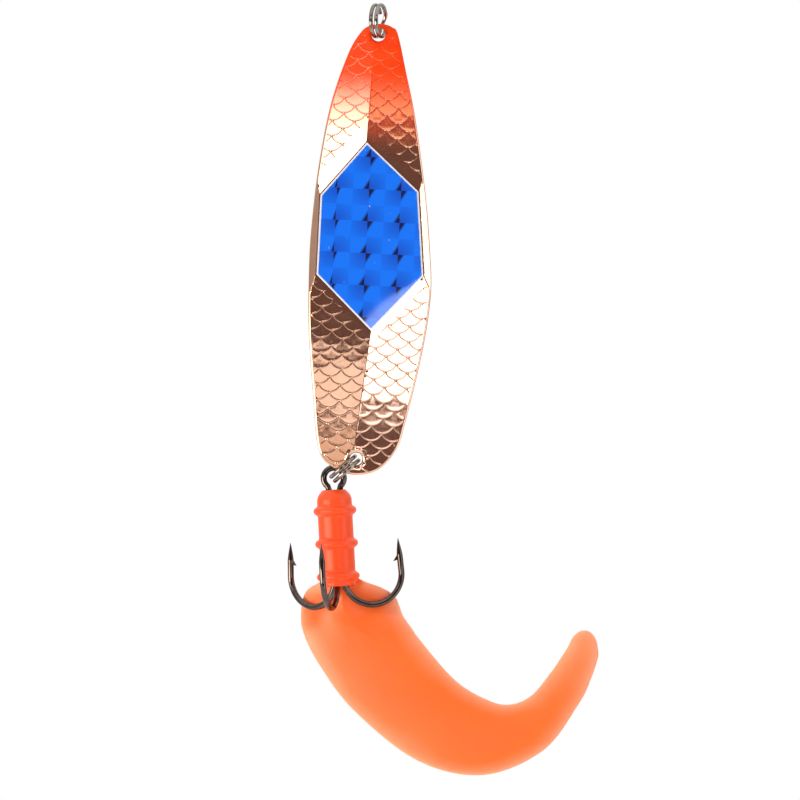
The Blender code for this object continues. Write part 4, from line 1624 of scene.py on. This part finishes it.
@dataclass
class Studio:
    """Long-lens camera before a white light tent whose open front shows the darker room."""

    centre: Vector
    frame_width: float = 0.16
    camera_distance: float = 1.2
    camera_range: tuple[float, float] = (0.05, 10.0)
    sensor: float = 36.0
    floor_drop: float = 0.75
    floor_size: float = 3.0
    floor_squares: int = 8
    paper: tuple[str, str] = ("f4f4f4", "fbfbfb")
    # Real fibres are finer than a pixel, so they are drawn coarser.
    paper_fibre_mm: float = 2.5
    paper_roughness: float = 0.9
    paper_glow: float = 0.15
    tent: tuple[float, float, float] = (1.1, 1.1, 1.1)
    horizon: tuple[float, float, float] = (0.42, 0.4, 0.4)
    horizon_tall: float = 0.6
    room: tuple[float, float, float] = (0.14, 0.09, 0.086)
    backdrop_share: float = 0.5
    backdrop_edge: tuple[float, float] = (0.1, 0.8)
    open_deg: float = 33.0
    open_edge_deg: float = 44.0
    lamps: tuple[Softbox, ...] = (
        Softbox("upper_left_softbox", -0.29, 0.8, 0.36, 0.22, 0.24, 2.5),
        Softbox("lower_right_softbox", 0.178, 0.8, -0.157, 0.245, 0.244, 2.4, colour=(1.0, 1.0, 1.1)),
        Softbox("lower_left_panel", -0.2, 0.8, -0.198, 0.12, 0.058, 0.86),
        Softbox("lower_left_dim_panel", -0.2, 0.8, -0.28, 0.12, 0.076, 0.64, colour=(1.0, 0.87, 0.76)),
        Softbox("upper_right_panel", 0.185, 0.8, 0.365, 0.12, 0.13, 1.3, colour=(1.0, 0.62, 0.42)),
        Softbox("left_wash_panel", -0.66, 0.46, -0.15, 0.62, 0.28, 6.6, -55.0, (1.0, 0.86, 0.68)),
        Softbox("right_strip", 0.68, 0.42, -0.02, 0.2, 0.7, 1.8, 58.0),
    )

    def camera(self) -> None:
        """Make the camera that looks straight at the blade's front."""
        data = bpy.data.cameras.new("camera")
        data.sensor_width = self.sensor
        data.lens = self.sensor * self.camera_distance / self.frame_width
        data.clip_start, data.clip_end = self.camera_range
        item = loose_object("camera", data)
        item.location = self.centre - Vector((0.0, self.camera_distance, 0.0))
        item.rotation_euler = (math.pi / 2, 0.0, 0.0)
        bpy.context.scene.camera = item

    def tent_colour(self, tree: bpy.types.NodeTree, axes: Any) -> bpy.types.NodeSocket:
        """Colour the tent, which is greyer at the height of the horizon and dark through its open front.

        Args:
            tree: Node tree of the world.
            axes: X, Y and Z of the direction that is looked in.

        Returns:
            Socket with the colour.
        """
        height = add_node(tree, "Math", {0: axes["Z"]}, operation="ABSOLUTE")
        rise = add_node(tree, "MapRange", {0: height, 2: self.horizon_tall}, interpolation_type="SMOOTHSTEP")
        walls = add_node(tree, "Mix", {0: rise, 6: (*self.horizon, 1.0), 7: (*self.tent, 1.0)},
                         data_type="RGBA").outputs[2]
        inner, outer = (-math.cos(math.radians(deg)) for deg in (self.open_deg, self.open_edge_deg))
        level = add_node(tree, "MapRange", {0: axes["Y"], 1: inner, 2: outer},
                         interpolation_type="SMOOTHSTEP")
        return add_node(tree, "Mix", {0: level, 6: (*self.room, 1.0), 7: walls}, data_type="RGBA").outputs[2]

    def world(self) -> None:
        """Make the tent, and show it white to the camera and partly white behind the lure."""
        world = bpy.data.worlds.new("light_tent")
        world.use_nodes = True
        bpy.context.scene.world = world
        tree = world.node_tree
        tree.nodes.clear()
        way = add_node(tree, "TexCoord").outputs["Generated"]
        axes = add_node(tree, "SeparateXYZ", {0: way}).outputs
        lit = add_node(tree, "Background", {"Color": self.tent_colour(tree, axes)})
        white = add_node(tree, "Background", {"Color": (1.0, 1.0, 1.0, 1.0)})
        path = add_node(tree, "LightPath").outputs
        shiny = add_node(tree, "Math", {0: path["Is Glossy Ray"], 1: path["Is Transmission Ray"]},
                         operation="MAXIMUM")
        start, end = self.backdrop_edge
        behind = add_node(tree, "MapRange", {0: axes["Y"], 1: start, 2: end, 4: self.backdrop_share},
                          interpolation_type="SMOOTHSTEP")
        glint = add_node(tree, "Math", {0: shiny, 1: behind}, operation="MULTIPLY")
        seen = add_node(tree, "Math", {0: path["Is Camera Ray"], 1: glint}, operation="MAXIMUM")
        both = add_node(tree, "MixShader", {0: seen, 1: lit, 2: white})
        add_node(tree, "OutputWorld", {0: both})

    def floor(self, low: float) -> None:
        """Lay the pale floor well below the tail.

        Args:
            low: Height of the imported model's lowest point.
        """
        bm = bmesh.new()
        bmesh.ops.create_grid(bm, x_segments=self.floor_squares, y_segments=self.floor_squares,
                              size=self.floor_size / 2)
        mesh = bpy.data.meshes.new("floor")
        bm.to_mesh(mesh)
        bm.free()
        material, tree, shader = new_material("matt_white_paper")
        place = add_node(tree, "TexCoord").outputs["Object"]
        fibre = add_node(tree, "TexNoise", {"Vector": place, "Scale": 1 / (self.paper_fibre_mm * MM)})
        colour = add_node(tree, "ValToRGB", {0: fibre}, two_tones(*self.paper))
        seen = add_node(tree, "LightPath").outputs["Is Camera Ray"]
        glow = add_node(tree, "Math", {0: seen, 1: self.paper_glow}, operation="MULTIPLY")
        feed(tree, shader, {"Base Color": colour, "Roughness": self.paper_roughness,
                            "Emission Color": (1.0, 1.0, 1.0, 1.0), "Emission Strength": glow})
        mesh.materials.append(material)
        item = loose_object("floor", mesh)
        item.location = (self.centre.x, 0.0, low - self.floor_drop)
        item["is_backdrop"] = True

    def build(self, low: float) -> None:
        """Set up the whole studio.

        Args:
            low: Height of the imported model's lowest point.
        """
        self.camera()
        self.world()
        self.floor(low)
        for lamp in self.lamps:
            lamp.build(self.centre)
        bpy.context.scene.view_settings.view_transform = "Standard"


@dataclass
class FrameGuide:
    """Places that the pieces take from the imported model's joints and boxes."""

    joints: dict[str, dict[str, Any]]
    sticker_gap: float = 0.06 * MM
    hook_tilt_deg: float = -3.0
    hook_yaw_deg: float = -13.0
    top_ring_yaw_deg: float = -18.0
    ring_inner_radius: float = 2.9 * MM

    def spot(self, joint: str) -> Vector:
        """Return a joint's position."""
        return Vector(self.joints[joint]["pos_m"])

    def axis(self, joint: str) -> Vector:
        """Return a joint's direction."""
        return Vector(self.joints[joint]["axis"]).normalized()

    def blade_origin(self) -> Vector:
        """Return the blade's drawing origin: its top hole at the level of the hexagon."""
        hole = self.spot("blade_swing")
        return Vector((hole.x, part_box("sticker_backing")[1].y + self.sticker_gap, hole.z))

    def top_ring(self) -> Matrix:
        """Return the top ring's place, hung from the line tie at the origin."""
        centre = Vector((0.0, 0.0, -self.ring_inner_radius))
        return Matrix.Translation(centre) @ Matrix.Rotation(math.radians(self.top_ring_yaw_deg), 4, "Z")

    def bottom_ring(self) -> Matrix:
        """Place the bottom ring between the blade's hole and the hook's eye.

        Returns:
            Place of the ring.
        """
        centre = self.spot("hook_swing")
        across = self.axis("hook_swing")
        up = (self.spot("bottom_ring_swing") - centre).normalized()
        turn = Matrix((across, up.cross(across), up)).transposed().to_4x4()
        return Matrix.Translation(centre) @ turn

    def hook_turn(self) -> Matrix:
        """Return the hook's tilt and yaw."""
        tilt = Matrix.Rotation(math.radians(self.hook_tilt_deg), 4, "Y")
        return tilt @ Matrix.Rotation(math.radians(self.hook_yaw_deg), 4, "Z")

    def hook(self, eye_depth: float) -> Matrix:
        """Place the hook with its eye on the far side of the bottom ring.

        Args:
            eye_depth: How far the eye lies behind the hook's axis.

        Returns:
            Place of the hook.
        """
        eye = 2 * self.spot("hook_swing") - self.spot("bottom_ring_swing")
        turn = self.hook_turn()
        return Matrix.Translation(eye - turn @ Vector((0.0, eye_depth, 0.0))) @ turn

    def towards_root(self) -> Vector:
        """Return the direction along the tail from its flex line to the sleeve."""
        back = self.hook_turn() @ Vector((0.0, 1.0, 0.0))
        return self.axis("tail_flex").cross(back).normalized()


def main() -> None:
    """Build the studio and every piece, in order from the line tie down."""
    logging.basicConfig(level=logging.INFO, format="%(name)s: %(message)s")
    for old in list(bpy.data.objects):
        bpy.data.objects.remove(old, do_unlink=True)
    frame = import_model()
    cad_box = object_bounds()
    guide = FrameGuide({joint["name"]: joint for joint in frame["joints"]})
    Studio(Vector(VIEW_CENTRE)).build(cad_box[0].z)

    nickel = NICKEL_WIRE.material()
    SplitRing("top_ring_wire", "top_split_ring", Body.TOP_RING, guide.top_ring()).build(nickel)
    blade = EmbossedBlade(BladeForm(), LacqueredCopper(), guide.blade_origin())
    blade.build()
    film = StickerLayer("sticker_film", "sticker_backing", Slot.FILM, inset=0.15, lift=0.02, thickness=0.12)
    film.build(blade, CastFilm().material())
    foil = StickerLayer("sticker_prisms", "sticker_foil", Slot.FOIL, inset=0.5, lift=0.15, thickness=0.1)
    foil.build(blade, PrismFoil().material())
    SplitRing("bottom_ring_wire", "bottom_split_ring", Body.BOTTOM_RING, guide.bottom_ring()).build(nickel)

    treble = TrebleHook(Matrix.Identity(4))
    treble.world = guide.hook(treble.eye_depth)
    treble.build(BLACK_NICKEL_WIRE.material())
    braze = frame["nodes"]["hook_braze"]
    braze.data.materials.clear()
    braze.data.materials.append(SILVER_BRAZE.material())
    tail = SoftTail(TailForm(), treble.world, guide.spot("tail_flex"), guide.towards_root())
    tail.build(frame["nodes"]["tail_sleeve"], MouldedVinyl().material())


if __name__ == "__main__":
    main()
